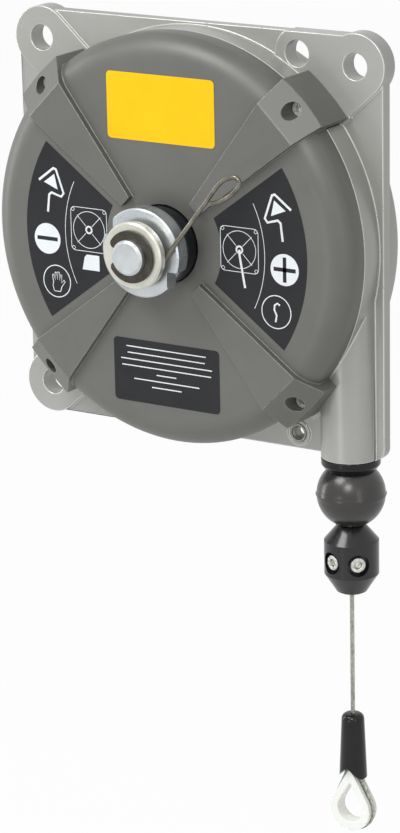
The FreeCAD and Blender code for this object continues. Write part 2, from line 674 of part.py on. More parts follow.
def retaining_ring():
    """Open spring ring in the axle's groove, its gap towards the left."""
    front = COLLAR_FRONT - CLIP_THICK + SEAT
    inner = AXLE_R - CLIP_DEPTH + SEAT
    body = ring(CLIP_R, inner, front, COLLAR_FRONT - SEAT)
    lean = math.radians(CLIP_END_ANGLE)
    far = 2 * CLIP_R
    corners = [(0, 0), (-far, far * math.tan(lean)), (-far, -far * math.tan(lean))]
    gap = slab(corners, front - PAST, COLLAR_FRONT + PAST)
    end_x = -(CLIP_R - CLIP_END_R) * math.cos(lean)
    end_z = (CLIP_R - CLIP_END_R) * math.sin(lean)
    ends = [disc(CLIP_END_R, front, COLLAR_FRONT - SEAT, end_x, z) for z in (end_z, -end_z)]
    return joined([body.cut(gap)] + ends).cut(disc(inner, front - PAST, COLLAR_FRONT + PAST))


def thrust_collar():
    bore = AXLE_R + SEAT
    nose_end = NOSE_MEET_Y - GAP / 2
    outline = [(bore, COLLAR_FRONT), (COLLAR_R - COLLAR_CHAMFER, COLLAR_FRONT)]
    outline += [(COLLAR_R, COLLAR_FRONT + COLLAR_CHAMFER)]
    outline += [(COLLAR_R, COLLAR_BACK), (NOSE_R, COLLAR_BACK), (NOSE_R, nose_end), (bore, nose_end)]
    wide = KEY_HALF_WIDTH + SEAT
    slot_front = key_middle() - KEY_HALF_LENGTH - SEAT
    slot = block(-wide, wide, slot_front, nose_end + PAST, 0, AXLE_R + KEY_PROUD + SEAT)
    return turned(outline).cut(slot)


def adjusting_hub():
    """Sleeve that winds the spring: notched flange, smooth barrel and spring arbor."""
    bore = AXLE_R + RUN
    nose_start = NOSE_MEET_Y + GAP / 2
    step_y = FACE_Y + COVER_BOSS_LENGTH + GAP
    outline = [(bore, nose_start), (NOSE_R, nose_start), (NOSE_R, DISH_Y), (DISH_R, DISH_Y)]
    outline += [(DISH_R, FLANGE_FRONT), (FLANGE_R - EDGE, FLANGE_FRONT)]
    outline += [(FLANGE_R, FLANGE_FRONT + EDGE), (FLANGE_R, FLANGE_BACK), (HUB_R, FLANGE_BACK)]
    shoulder = ARBOR_R + ARBOR_SHOULDER
    outline += [(HUB_R, step_y), (shoulder, step_y), (shoulder, FRONT_BEARING_Y - SEAT)]
    outline += [(ARBOR_R, FRONT_BEARING_Y - SEAT), (ARBOR_R, ARBOR_END), (bore, ARBOR_END)]
    body = turned(outline)
    front = FLANGE_FRONT - PAST
    wide = FLANGE_R + PAST
    right = block(NOTCH_X, wide, front, FLANGE_BACK, -wide, -NOTCH_Z)
    left = block(-wide, -NOTCH_X, front, FLANGE_BACK, NOTCH_Z, wide)
    hook_x = ARBOR_R - HOOK_DEEP
    hook = block(hook_x, ARBOR_R + PAST, STRIP_FRONT - PAST, STRIP_BACK + PAST, -HOOK_HALF, HOOK_HALF)
    clip_y = arbor_clip_y()
    groove = ring(ARBOR_R + PAST, ARBOR_R - ARBOR_CLIP_DEEP, clip_y, clip_y + ARBOR_CLIP_THICK)
    return body.cut(Part.makeCompound([right, left, hook, groove]))


def arbor_clip_y():
    return REAR_BEARING_Y + BEARING_WIDTH + SEAT


def arbor_clip():
    """Snap ring behind the rear bearing's inner race."""
    front = arbor_clip_y() + SEAT
    back = arbor_clip_y() + ARBOR_CLIP_THICK - SEAT
    body = ring(ARBOR_R + ARBOR_CLIP_PROUD, ARBOR_R - ARBOR_CLIP_DEEP + SEAT, front, back)
    mouth = block(-BEARING_R, 0, front - PAST, back + PAST, -ARBOR_CLIP_MOUTH, ARBOR_CLIP_MOUTH)
    return body.cut(mouth)


def bend(start, heading, radius, degrees):
    """Arc to the right of a heading in the XZ plane; gives its edge, end point and new heading."""
    turn = math.radians(degrees)
    side = V(heading.z, 0, -heading.x)
    centre = start + side * radius
    middle = centre - side * (radius * math.cos(turn / 2)) + heading * (radius * math.sin(turn / 2))
    end = centre - side * (radius * math.cos(turn)) + heading * (radius * math.sin(turn))
    leaving = heading * math.cos(turn) + side * math.sin(turn)
    return Part.Arc(start, middle, end).toShape(), end, leaving


def brake_lever(start, heading):
    """Straight tail that ends in a drop-shaped finger eye bent back almost on to itself."""
    corner = start + heading * (BRAKE_TAIL + EYE_RUN)
    crown, crown_end, over = bend(corner, heading, EYE_CROWN_R, EYE_CROWN_TURN)
    tip, tip_end, back = bend(crown_end, over, EYE_TIP_R, EYE_TIP_TURN)
    closing = bend(tip_end, back, EYE_BACK_R, EYE_BACK_TURN)[0]
    line = Part.Wire([Part.LineSegment(start, corner).toShape(), crown, tip, closing])
    return wire_along(line, WIRE_R, start, heading)


def coil_line():
    """Middle line of the spring's turns, laid half a turn at a time."""
    edges = []
    rise = SPRING_PITCH / 2
    for i in range(2 * SPRING_TURNS):
        half_turn = Part.makeHelix(SPRING_PITCH, rise, SPRING_COIL_R)
        half_turn.rotate(V(0, 0, 0), V(0, 0, 1), 180 * i)
        half_turn.translate(V(0, 0, rise * i))
        edges += half_turn.Edges
    return Part.Wire(edges)


def brake_spring():
    """Wrap spring over collar and hub noses; its tail is a lever with a finger eye."""
    coil = wire_along(coil_line(), WIRE_R, V(SPRING_COIL_R, 0, 0), V(0, 1, 0))
    coil.rotate(V(0, 0, 0), V(1, 0, 0), -90)
    coil.translate(V(0, SPRING_FRONT_Y, 0))
    lean = math.radians(BRAKE_TAIL_ANGLE)
    coil.rotate(V(0, 0, 0), V(0, 1, 0), 90 - BRAKE_TAIL_ANGLE)
    direction = V(math.cos(lean), 0, math.sin(lean))
    start = V(SPRING_COIL_R * math.sin(lean), SPRING_FRONT_Y, -SPRING_COIL_R * math.cos(lean))
    return joined([coil, brake_lever(start, direction), Part.makeSphere(WIRE_R, start)])


def axle_washer():
    return ring(AXLE_WASHER_R, AXLE_SHANK_R + SEAT, REAR_Y + SEAT, REAR_Y + AXLE_WASHER_THICK)


def axle_nut():
    front = REAR_Y + AXLE_WASHER_THICK + SEAT
    back = front + AXLE_NUT_HEIGHT
    return slab(hexagon(AXLE_NUT_R), front, back).cut(disc(AXLE_SHANK_R + SEAT, front - PAST, back + PAST))


# ---- bearings ------------------------------------------------------------------------------------
def inner_race(front):
    y0 = front + SEAT
    y1 = front + BEARING_WIDTH - SEAT
    race = ring(ARBOR_R + SEAT + RACE, ARBOR_R + SEAT, y0, y1)
    return race.cut(ball_groove(front, BALL_R + RUN))


def outer_race(front):
    y0 = front + SEAT
    y1 = front + BEARING_WIDTH - SEAT
    race = ring(BEARING_R - SEAT, BEARING_R - SEAT - RACE, y0, y1)
    return race.cut(ball_groove(front, BALL_R + RUN))


def ball_groove(front, radius):
    middle = (ARBOR_R + BEARING_R) / 2
    return Part.makeTorus(middle, radius, V(0, front + BEARING_WIDTH / 2, 0), V(0, 1, 0))


def bearing_balls(front):
    middle = (ARBOR_R + BEARING_R) / 2
    y = front + BEARING_WIDTH / 2
    balls = []
    for i in range(BALLS):
        angle = 2 * math.pi * i / BALLS
        balls.append(Part.makeSphere(BALL_R, V(middle * math.cos(angle), y, middle * math.sin(angle))))
    return Part.makeCompound(balls)


def bearing_cage(front):
    """Plastic band between the races with a round pocket for each ball."""
    middle = (ARBOR_R + BEARING_R) / 2
    y = front + BEARING_WIDTH / 2
    pocket = Part.makeCylinder(BALL_R + RUN, 2 * CAGE_THICK, V(middle - CAGE_THICK, y, 0), V(1, 0, 0))
    pockets = [about_axis(pocket, 360 / BALLS * i) for i in range(BALLS)]
    y0 = front + (BEARING_WIDTH - CAGE_WIDTH) / 2
    band = ring(middle + CAGE_THICK / 2, middle - CAGE_THICK / 2, y0, y0 + CAGE_WIDTH)
    return band.cut(Part.makeCompound(pockets))


# ---- drum ------------------------------------------------------------------------------------------
def turn_place(i):
    return TURN_FIRST_R + TURN_RISE * i, TURN_FIRST_Y + TURN_PITCH * i


def rope_drum():
    """Conical rope drum with one groove a turn and a pocket for the spring case."""
    first_r, first_y = turn_place(0)
    last_r, last_y = turn_place(TURN_LAST)
    half = ROPE_R + GROOVE_AIR
    web_back = DRUM_WEB_Y + DRUM_WEB
    boss_r = BEARING_R + DRUM_BOSS
    outer = [(BEARING_R, FRONT_BEARING_Y), (boss_r, FRONT_BEARING_Y), (boss_r, DRUM_WEB_Y)]
    outer += [(first_r - DRUM_WEB_IN, DRUM_WEB_Y)]
    outer += [(first_r + DRUM_FLANGE, first_y - half - DRUM_FLANGE_THICK)]
    outer += [(first_r + DRUM_FLANGE, first_y - half)]
    for i in range(TURN_COUNT):
        radius, y = turn_place(i)
        outer += [(radius - half, y - half), (radius - half, y + half)]
        outer += [(radius + TURN_RISE / 2, y + half)]
        if i < TURN_LAST:
            outer += [(radius + TURN_RISE / 2, y + TURN_PITCH - half)]
    top = last_r + DRUM_FLANGE
    back = last_y + half + DRUM_FLANGE_THICK
    outer += [(top, last_y + half), (top, back), (last_r - half - 1, back)]
    outer += [(last_r - half - DRUM_RIM, last_y), (first_r - half - DRUM_RIM, first_y)]
    outer += [(first_r - half - DRUM_RIM, web_back)]
    outer += [(POCKET_R + POCKET_WALL, web_back), (POCKET_R + POCKET_WALL, POCKET_END)]
    outer += [(POCKET_R, POCKET_END), (POCKET_R, web_back), (ARBOR_R + DRUM_BOSS_LIP, web_back)]
    outer += [(ARBOR_R + DRUM_BOSS_LIP, DRUM_WEB_Y), (BEARING_R, DRUM_WEB_Y)]
    return turned(outer).cut(Part.makeCompound(drum_holes()))


def plate_screw_places():
    radius = POCKET_R + POCKET_WALL / 2
    angles = [2 * math.pi * i / PLATE_SCREWS for i in range(PLATE_SCREWS)]
    return [(radius * math.cos(a), radius * math.sin(a)) for a in angles]


def drum_holes():
    deep = POCKET_END - PLATE_SCREW_BITE - PAST
    holes = [disc(PLATE_SCREW_R + SEAT, deep, POCKET_END + PAST, x, z) for x, z in plate_screw_places()]
    y = turn_place(TURN_LAST)[1]
    holes.append(disc(ANCHOR_R + SEAT, y - ANCHOR_LENGTH / 2, y + 2 * ANCHOR_LENGTH, 0, anchor_height()))
    return holes


def anchor_height():
    return turn_place(TURN_LAST)[0] - ROPE_R - ANCHOR_R - 2 * GAP


def rope_anchor():
    """Lead cylinder cast on the rope's inner end, held in its seat in the drum."""
    y = turn_place(TURN_LAST)[1]
    return disc(ANCHOR_R, y - ANCHOR_LENGTH / 2 + SEAT, y + ANCHOR_LENGTH / 2, 0, anchor_height())


def drum_plate():
    """Rear plate of the drum; it closes the spring pocket and carries the rear bearing."""
    front = POCKET_END + SEAT
    back = front + DRUM_PLATE_THICK
    outer_r = POCKET_R + POCKET_WALL - GAP
    end = REAR_BEARING_Y + BEARING_WIDTH
    lip = ARBOR_R + DRUM_BOSS_LIP
    outline = [(lip, front), (outer_r, front), (outer_r, back), (BEARING_R + DRUM_BOSS, back)]
    outline += [(BEARING_R + DRUM_BOSS, end), (BEARING_R, end), (BEARING_R, REAR_BEARING_Y)]
    outline += [(lip, REAR_BEARING_Y)]
    holes = [disc(PLATE_SCREW_R + GAP, front - PAST, back + PAST, x, z) for x, z in plate_screw_places()]
    return turned(outline).cut(Part.makeCompound(holes))


def plate_screws():
    seat = POCKET_END + SEAT + DRUM_PLATE_THICK + SEAT
    top = seat + PLATE_SCREW_HEAD
    half = PLATE_SCREW_SLOT / 2
    long = PLATE_SCREW_CROSS
    screws = []
    for x, z in plate_screw_places():
        head = disc(PLATE_SCREW_HEAD_R, seat, top, x, z)
        shank = disc(PLATE_SCREW_R, POCKET_END - PLATE_SCREW_BITE, seat, x, z)
        cross = block(x - long, x + long, (seat + top) / 2, top + PAST, z - half, z + half)
        cross = cross.fuse(block(x - half, x + half, (seat + top) / 2, top + PAST, z - long, z + long))
        screws.append(head.fuse(shank).cut(cross))
    return Part.makeCompound(screws)


def spring_case():
    """Sheet cup that holds the power spring and lifts out of the drum with it."""
    inner = CASE_R - CASE_WALL
    outline = [(ARBOR_R + CASE_MOUTH, CASE_FRONT), (CASE_R, CASE_FRONT)]
    outline += [(CASE_R, CASE_BACK), (inner, CASE_BACK)]
    outline += [(inner, CASE_FRONT + CASE_WALL), (ARBOR_R + CASE_MOUTH, CASE_FRONT + CASE_WALL)]
    return turned(outline)


def case_lid():
    back = CASE_BACK
    outer = CASE_R - CASE_WALL - SEAT
    front = STRIP_BACK + CASE_AIR
    mouth = ARBOR_R + CASE_MOUTH
    return turned([(mouth, front), (outer, front), (outer, back), (mouth, back)])


def half_circle(centre, radius, upper):
    side = 1 if upper else -1
    start = V(centre - side * radius, STRIP_FRONT, 0)
    end = V(centre + side * radius, STRIP_FRONT, 0)
    return Part.Arc(start, V(centre, STRIP_FRONT, side * radius), end).toShape()


def spiral(first, step, halves):
    """Spiral line of half circles, each a step larger than the last."""
    edges = []
    centre = 0.0
    radius = first
    for i in range(halves):
        edges.append(half_circle(centre, radius, i % 2 == 0))
        side = 1 if i % 2 == 0 else -1
        centre -= side * step
        radius += step
    return edges


def power_spring():
    """Flat steel strip wound in a spiral from the arbor's slot out to the case."""
    halves = COILS * 2
    first = ARBOR_R + PAST
    last = CASE_R - CASE_WALL - GAP - STRIP
    step = (last - first) / halves
    inner = spiral(first, step, halves)
    outer = spiral(first + STRIP, step, halves)
    inner_start = inner[0].valueAt(inner[0].FirstParameter)
    outer_start = outer[0].valueAt(outer[0].FirstParameter)
    inner_end = inner[-1].valueAt(inner[-1].LastParameter)
    outer_end = outer[-1].valueAt(outer[-1].LastParameter)
    edges = inner + [Part.LineSegment(inner_end, outer_end).toShape()]
    edges += outer + [Part.LineSegment(outer_start, inner_start).toShape()]
    strip = Part.Face(Part.Wire(Part.__sortEdges__(edges))).extrude(V(0, SPRING_WIDTH, 0))
    hook = block(-first - STRIP, -ARBOR_R + HOOK_DEEP - GAP, STRIP_FRONT, STRIP_BACK, -STRIP / 2, STRIP / 2)
    spring = strip.fuse(hook).removeSplitter()
    spring.rotate(V(0, 0, 0), V(0, 1, 0), 180)
    return spring


def wound_rope():
    """Rope lying in the drum's grooves, one ring for each turn."""
    turns = []
    for i in range(TURN_COUNT):
        radius, y = turn_place(i)
        section = Part.Face(Part.Wire([Part.makeCircle(ROPE_R, V(radius, y, 0), V(0, 0, 1))]))
        turns.append(section.revolve(V(0, 0, 0), V(0, 1, 0), 360))
    return Part.makeCompound(turns)


# ---- rope exit and stop --------------------------------------------------------------------------
def tube_rope():
    """Rope from the drum's first groove down the tube and into the exit bush."""
    first_r, first_y = turn_place(0)
    start = V(first_r + LEAD_OUT, first_y + LEAD_BACK, -LEAD_LOW)
    corner = V(TUBE_X, TUBE_Y, BUSH_TOP + LEAD_BEND)
    end = V(TUBE_X, TUBE_Y, BUSH_TOP - ROPE_IN_BUSH)
    down = (corner - start).normalize()
    straight = V(0, 0, -1)
    turn = math.acos(down.dot(straight))
    radius = LEAD_REACH / math.tan(turn / 2)
    before = corner - down * LEAD_REACH
    after = corner + straight * LEAD_REACH
    inward = (straight - down).normalize()
    middle = corner + inward * (radius / math.cos(turn / 2) - radius)
    path = [Part.LineSegment(start, before).toShape(), Part.Arc(before, middle, after).toShape()]
    path.append(Part.LineSegment(after, end).toShape())
    print("tube rope: bend radius", round(radius, 1), "length", round(Part.Wire(path).Length, 1))
    return wire_along(Part.Wire(path), ROPE_R, start, down)


def exit_bush():
    """Plastic guide in the tube's mouth with a round seat for the stop ball."""
    bore = ROPE_R + 2 * GAP
    low = TUBE_BOTTOM - BUSH_HEIGHT
    outline = [(bore, BUSH_TOP - BUSH_FUNNEL), (bore + 2 * BUSH_FUNNEL, BUSH_TOP)]
    outline += [(TUBE_BORE - SEAT, BUSH_TOP)]
    outline += [(TUBE_BORE - SEAT, TUBE_BOTTOM - SEAT), (TUBE_R, TUBE_BOTTOM - SEAT)]
    outline += [(TUBE_R, TUBE_BOTTOM - BUSH_LIP), (BUSH_TIP_R, low), (bore, low)]
    seat = Part.makeSphere(BALL_STOP_R + GAP, V(TUBE_X, TUBE_Y, BALL_STOP_Z))
    return turned_upright(outline).cut(seat)


def drawn_rope():
    """Stretch of rope that lengthens below the bush as the load is pulled down."""
    return upright(ROPE_R, rope_join_z() + ROPE_JOIN, BUSH_TOP - ROPE_IN_BUSH - ROPE_JOIN)


def rope_join_z():
    return BALL_STOP_Z + BALL_STOP_R - ROPE_IN_BALL


def stop_ball():
    """Rubber buffer ball with a moulding seam round its middle."""
    ball = Part.makeSphere(BALL_STOP_R, V(TUBE_X, TUBE_Y, BALL_STOP_Z))
    seam = upright(BALL_STOP_R + FLASH, BALL_STOP_Z - FLASH_HALF, BALL_STOP_Z + FLASH_HALF)
    bore = upright(ROPE_R + GAP, BALL_STOP_Z - 2 * BALL_STOP_R, BALL_STOP_Z + 2 * BALL_STOP_R)
    return ball.fuse(seam).cut(bore)


def stop_clamp():
    """Turned clamp body that grips the rope under the ball with four radial screws."""
    top = BALL_STOP_Z - BALL_STOP_R + CLAMP_CUP
    bore = ROPE_R + GROOVE_AIR
    outline = [(bore, top), (CLAMP_NECK_R, top), (CLAMP_R, CLAMP_SHOULDER_Z), (CLAMP_R, CLAMP_WAIST_Z)]
    outline += [(CLAMP_BOTTOM_R + CLAMP_EDGE, CLAMP_BOTTOM_Z + CLAMP_EDGE)]
    outline += [(CLAMP_BOTTOM_R - CLAMP_EDGE, CLAMP_BOTTOM_Z)]
    outline += [(bore, CLAMP_BOTTOM_Z)]
    ball = Part.makeSphere(BALL_STOP_R + RUN, V(TUBE_X, TUBE_Y, BALL_STOP_Z))
    core = upright(CORE_R + SEAT, CLAMP_SCREW_Z - CORE_HALF - SEAT, CLAMP_SCREW_Z + CORE_HALF + SEAT)
    return turned_upright(outline).cut(Part.makeCompound([ball, core] + clamp_pockets()))


def radial(radius, r0, r1):
    """A round bar that points out from the rope's line towards -Y."""
    return Part.makeCylinder(radius, r1 - r0, V(TUBE_X, TUBE_Y - r0, CLAMP_SCREW_Z), V(0, -1, 0))


def clamp_turns():
    """Angles of the four screws about the rope, from -Y: a pair in front, a pair behind."""
    front = [CLAMP_TURN - CLAMP_SPREAD, CLAMP_TURN + CLAMP_SPREAD]
    return front + [180 + a for a in front]


def clamp_pockets():
    pocket = radial(CLAMP_POCKET_R, CLAMP_HEAD_IN, 2 * CLAMP_R)
    hole = radial(SCREW_SHANK_R + SEAT, CORE_R, CLAMP_R)
    return [about_rope(s, a) for s in (pocket, hole) for a in clamp_turns()]


def clamp_screws():
    seat = CLAMP_HEAD_IN + SEAT
    top = CLAMP_HEAD_IN + CLAMP_HEAD_HEIGHT
    head = radial(SCREW_HEAD_R, seat, top)
    shank = radial(SCREW_SHANK_R, CORE_R + SEAT, seat)
    socket = radial(CLAMP_SOCKET_R, top - CLAMP_SOCKET_DEEP, top + PAST)
    screw = head.fuse(shank).cut(socket)
    return Part.makeCompound([about_rope(screw, a) for a in clamp_turns()])


def clamp_core():
    """Split brass sleeve that the screws press on to the rope."""
    z0 = CLAMP_SCREW_Z - CORE_HALF
    z1 = CLAMP_SCREW_Z + CORE_HALF
    half = CORE_SLIT / 2
    sleeve = upright(CORE_R, z0, z1).cut(upright(ROPE_R + GROOVE_AIR, z0 - PAST, z1 + PAST))
    slit = block(TUBE_X - CORE_R - PAST, TUBE_X, TUBE_Y - half, TUBE_Y + half, z0 - PAST, z1 + PAST)
    return sleeve.cut(slit)


# ---- load end ---------------------------------------------------------------------------------------
def load_rope():
    """Straight rope from inside the ball down to the ferrule."""
    return upright(ROPE_R, FERRULE_TOP_Z - FERRULE_SOCKET, rope_join_z())


def drop_outline(radius, centre_z, tip_z, half_tip, y0):
    """Teardrop wire: a round bottom with two flanks that close at the tip."""
    tip_left = V(TUBE_X - half_tip, y0, tip_z)
    tip_right = V(TUBE_X + half_tip, y0, tip_z)
    rise = tip_z - centre_z
    reach = math.hypot(rise, half_tip)
    angle = math.atan2(rise, half_tip) - math.acos(radius / reach)
    touch = V(TUBE_X + radius * math.cos(angle), y0, centre_z + radius * math.sin(angle))
    mirror = V(TUBE_X - radius * math.cos(angle), y0, touch.z)
    bottom = V(TUBE_X, y0, centre_z - radius)
    return tip_left, mirror, bottom, touch, tip_right


def drop_slab(radius, centre_z, tip_z, y0, y1):
    tip_left, left, bottom, right, tip_right = drop_outline(radius, centre_z, tip_z, TIP_HALF, y0)
    edges = [Part.LineSegment(tip_left, left).toShape(), Part.Arc(left, bottom, right).toShape()]
    edges += [Part.LineSegment(right, tip_right).toShape(), Part.LineSegment(tip_right, tip_left).toShape()]
    return Part.Face(Part.Wire(edges)).extrude(V(0, y1 - y0, 0))


def rope_loop():
    """Rope from the ferrule round the thimble and back into the ferrule."""
    points = drop_outline(LOOP_R, LOOP_Z, LOOP_TOP_Z, STRAND_APART, TUBE_Y)
    tip_left, left, bottom, right, tip_right = points
    path = [Part.LineSegment(tip_left, left).toShape(), Part.Arc(left, bottom, right).toShape()]
    path.append(Part.LineSegment(right, tip_right).toShape())
    print("rope loop: radius", LOOP_R, "length", round(Part.Wire(path).Length, 1))
    return wire_along(Part.Wire(path), ROPE_R, tip_left, left - tip_left)


def thimble():
    """Plastic thimble with a grooved edge that the rope lies in."""
    front = TUBE_Y - THIMBLE_THICK / 2
    back = TUBE_Y + THIMBLE_THICK / 2
    tip = LOOP_TOP_Z - THIMBLE_TIP
    body = drop_slab(THIMBLE_R, LOOP_Z, tip, front, back)
    opening = drop_slab(EYE_R, EYE_Z, EYE_TIP_Z, front - PAST, back + PAST)
    half = ROPE_R + BED_AIR
    around = drop_slab(2 * THIMBLE_R, LOOP_Z, tip + 2 * THIMBLE_R, TUBE_Y - half, TUBE_Y + half)
    bed = drop_slab(LOOP_R - half, LOOP_Z, LOOP_TOP_Z - BED_TIP, TUBE_Y - half - PAST, TUBE_Y + half + PAST)
    return body.cut(opening).cut(around.cut(bed))


def ferrule():
    """Crimped sleeve round the rope and its returned end."""
    height = FERRULE_TOP_Z - FERRULE_BOTTOM_Z
    side = FERRULE_WIDE - FERRULE_DEEP
    left = Part.makeCylinder(FERRULE_DEEP, height, V(TUBE_X - side, TUBE_Y, FERRULE_BOTTOM_Z))
    right = Part.makeCylinder(FERRULE_DEEP, height, V(TUBE_X + side, TUBE_Y, FERRULE_BOTTOM_Z))
    web = block(TUBE_X - side, TUBE_X + side, TUBE_Y - FERRULE_DEEP, TUBE_Y + FERRULE_DEEP,
                FERRULE_BOTTOM_Z, FERRULE_TOP_Z)
    solid = joined([left, right, web])
    return solid.cut(upright(ROPE_R, FERRULE_TOP_Z - FERRULE_SOCKET, FERRULE_TOP_Z + PAST))


def rope_sleeve():
    """Rubber sleeve over the ferrule, with a mouth cut to the thimble's shoulders."""
    top = SLEEVE_TOP_Z
    bore = ROPE_R + RUN
    outline = [(bore, top), (SLEEVE_TOP_R - SLEEVE_ROUND, top)]
    for i in range(1, SLEEVE_STEPS):
        lean = math.pi / 2 * i / SLEEVE_STEPS
        radius = SLEEVE_TOP_R - SLEEVE_ROUND * (1 - math.sin(lean))
        outline.append((radius, top - SLEEVE_ROUND * (1 - math.cos(lean))))
    outline += [(SLEEVE_TOP_R, top - SLEEVE_ROUND), (SLEEVE_BOTTOM_R, SLEEVE_BOTTOM_Z)]
    outline += [(bore, SLEEVE_BOTTOM_Z)]
    body = turned_upright(outline)
    wide = FERRULE_WIDE + GAP
    deep = FERRULE_DEEP + GAP
    room = block(TUBE_X - wide, TUBE_X + wide, TUBE_Y - deep, TUBE_Y + deep,
                 SLEEVE_BOTTOM_Z - PAST, FERRULE_TOP_Z + GAP)
    half = ROPE_R + GAP
    strands = drop_slab(LOOP_R + half, LOOP_Z, LOOP_TOP_Z + SLEEVE_RELIEF, TUBE_Y - half, TUBE_Y + half)
    return body.cut(Part.makeCompound([room, sleeve_mouth(), strands]))


def sleeve_mouth():
    """Inverted V through the sleeve's lower end, a little wider than the thimble."""
    peak = LOOP_TOP_Z - SLEEVE_PEAK
    low = SLEEVE_BOTTOM_Z - PAST
    deep = 2 * SLEEVE_BOTTOM_R
    outline = [(TUBE_X - PAST, peak), (TUBE_X + PAST, peak)]
    outline += [(TUBE_X + SLEEVE_SPREAD, low), (TUBE_X - SLEEVE_SPREAD, low)]
    return slab(outline, TUBE_Y - deep, TUBE_Y + deep)


# ---- every sub-part ----------------------------------------------------------------------------------
export("rear_housing", rear_housing())
export("corner_bush", corner_bush())
export("front_cover", front_cover())
export("cover_bush", cover_bush())
export("cover_screws", cover_screws())
export("upper_label", label(FACE_R - UPPER_LABEL_EDGE - UPPER_LABEL_HEIGHT, FACE_R - UPPER_LABEL_EDGE))
export("lower_label", label(LOWER_LABEL_EDGE - FACE_R, LOWER_LABEL_EDGE - FACE_R + LOWER_LABEL_HEIGHT))
export("left_dial_label", sector_label(-1))
export("right_dial_label", sector_label(1))
export("axle", axle())
export("collar_key", collar_key())
export("retaining_ring", retaining_ring())
export("thrust_collar", thrust_collar())
export("adjusting_hub", adjusting_hub())
export("arbor_clip", arbor_clip())
export("brake_spring", brake_spring())
export("axle_washer", axle_washer())
export("axle_nut", axle_nut())
export("front_bearing_inner_race", inner_race(FRONT_BEARING_Y))
export("front_bearing_outer_race", outer_race(FRONT_BEARING_Y))
export("front_bearing_balls", bearing_balls(FRONT_BEARING_Y))
export("front_bearing_cage", bearing_cage(FRONT_BEARING_Y))
export("rear_bearing_inner_race", inner_race(REAR_BEARING_Y))
export("rear_bearing_outer_race", outer_race(REAR_BEARING_Y))
export("rear_bearing_balls", bearing_balls(REAR_BEARING_Y))
export("rear_bearing_cage", bearing_cage(REAR_BEARING_Y))
export("rope_drum", rope_drum())
export("drum_plate", drum_plate())
export("drum_plate_screws", plate_screws())
export("spring_case", spring_case())
export("spring_case_lid", case_lid())
export("power_spring", power_spring())
export("rope_anchor", rope_anchor())
export("wound_rope", wound_rope())
export("tube_rope", tube_rope())
export("exit_bush", exit_bush())
export("drawn_rope", drawn_rope())
export("stop_ball", stop_ball())
export("stop_clamp", stop_clamp())
export("clamp_core", clamp_core())
export("clamp_screws", clamp_screws())
export("load_rope", load_rope())
export("ferrule", ferrule())
export("rope_loop", rope_loop())
export("thimble", thimble())
export("rope_sleeve", rope_sleeve())
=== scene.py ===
import math

import bmesh
import bpy
from mathutils import Matrix, Quaternion, Vector
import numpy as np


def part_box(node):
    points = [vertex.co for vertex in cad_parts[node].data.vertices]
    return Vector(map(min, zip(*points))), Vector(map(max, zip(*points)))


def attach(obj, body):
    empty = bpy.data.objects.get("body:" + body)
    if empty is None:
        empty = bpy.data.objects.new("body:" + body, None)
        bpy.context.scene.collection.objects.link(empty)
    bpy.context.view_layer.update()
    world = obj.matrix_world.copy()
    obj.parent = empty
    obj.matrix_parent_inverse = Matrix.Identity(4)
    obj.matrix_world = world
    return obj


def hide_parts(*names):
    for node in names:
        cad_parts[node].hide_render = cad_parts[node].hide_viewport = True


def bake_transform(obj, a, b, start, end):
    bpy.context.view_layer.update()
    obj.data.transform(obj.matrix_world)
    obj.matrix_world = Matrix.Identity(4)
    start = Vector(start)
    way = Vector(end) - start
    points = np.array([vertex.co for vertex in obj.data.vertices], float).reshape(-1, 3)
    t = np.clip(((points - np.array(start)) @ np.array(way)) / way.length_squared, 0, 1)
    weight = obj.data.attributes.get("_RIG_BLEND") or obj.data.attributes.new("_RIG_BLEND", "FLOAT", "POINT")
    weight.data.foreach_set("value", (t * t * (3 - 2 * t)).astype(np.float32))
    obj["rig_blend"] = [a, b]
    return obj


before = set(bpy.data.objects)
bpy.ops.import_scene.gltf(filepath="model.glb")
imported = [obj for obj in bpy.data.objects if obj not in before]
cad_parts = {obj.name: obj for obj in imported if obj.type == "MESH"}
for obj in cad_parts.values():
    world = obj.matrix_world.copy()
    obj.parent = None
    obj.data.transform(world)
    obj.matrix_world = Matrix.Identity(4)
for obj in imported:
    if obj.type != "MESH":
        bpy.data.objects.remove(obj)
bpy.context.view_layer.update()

# ---- Viewpoint, studio light and floor ---------------------------------------------------------
# The balancer hangs by its top right lug in a white studio, seen through a long lens from the right
# and above. Broad soft boxes light it from overhead and the front, a small one stands low in front
# and narrow ones at the sides, over a plain pale floor.
scene = bpy.context.scene
scene.view_settings.view_transform = "Standard"

aim = Vector((-0.1009, -0.0367, -0.2335))
azimuth = math.radians(32.88)
elevation = math.radians(16.75)
roll = math.radians(-1.24)
distance = 2.1
back = Vector((math.sin(azimuth) * math.cos(elevation), -math.cos(azimuth) * math.cos(elevation),
               math.sin(elevation)))
camera = bpy.data.objects.new("camera", bpy.data.cameras.new("camera"))
scene.collection.objects.link(camera)
camera.data.lens = 139.49
camera.data.sensor_width = 36
camera.data.clip_start = 0.05
camera.rotation_mode = "QUATERNION"
camera.rotation_quaternion = (-back).to_track_quat("-Z", "Y") @ Quaternion((0, 0, 1), roll)
camera.location = aim + back * distance
scene.camera = camera


def soft_lamp(name, place, size, power):
    """A white rectangular soft box that points at the middle of the balancer."""
    lamp = bpy.data.objects.new(name, bpy.data.lights.new(name, "AREA"))
    lamp.data.shape = "RECTANGLE"
    lamp.data.size, lamp.data.size_y = size
    lamp.data.energy = power
    lamp.location = place
    lamp.rotation_mode = "QUATERNION"
    lamp.rotation_quaternion = (aim - lamp.location).to_track_quat("-Z", "Y")
    scene.collection.objects.link(lamp)


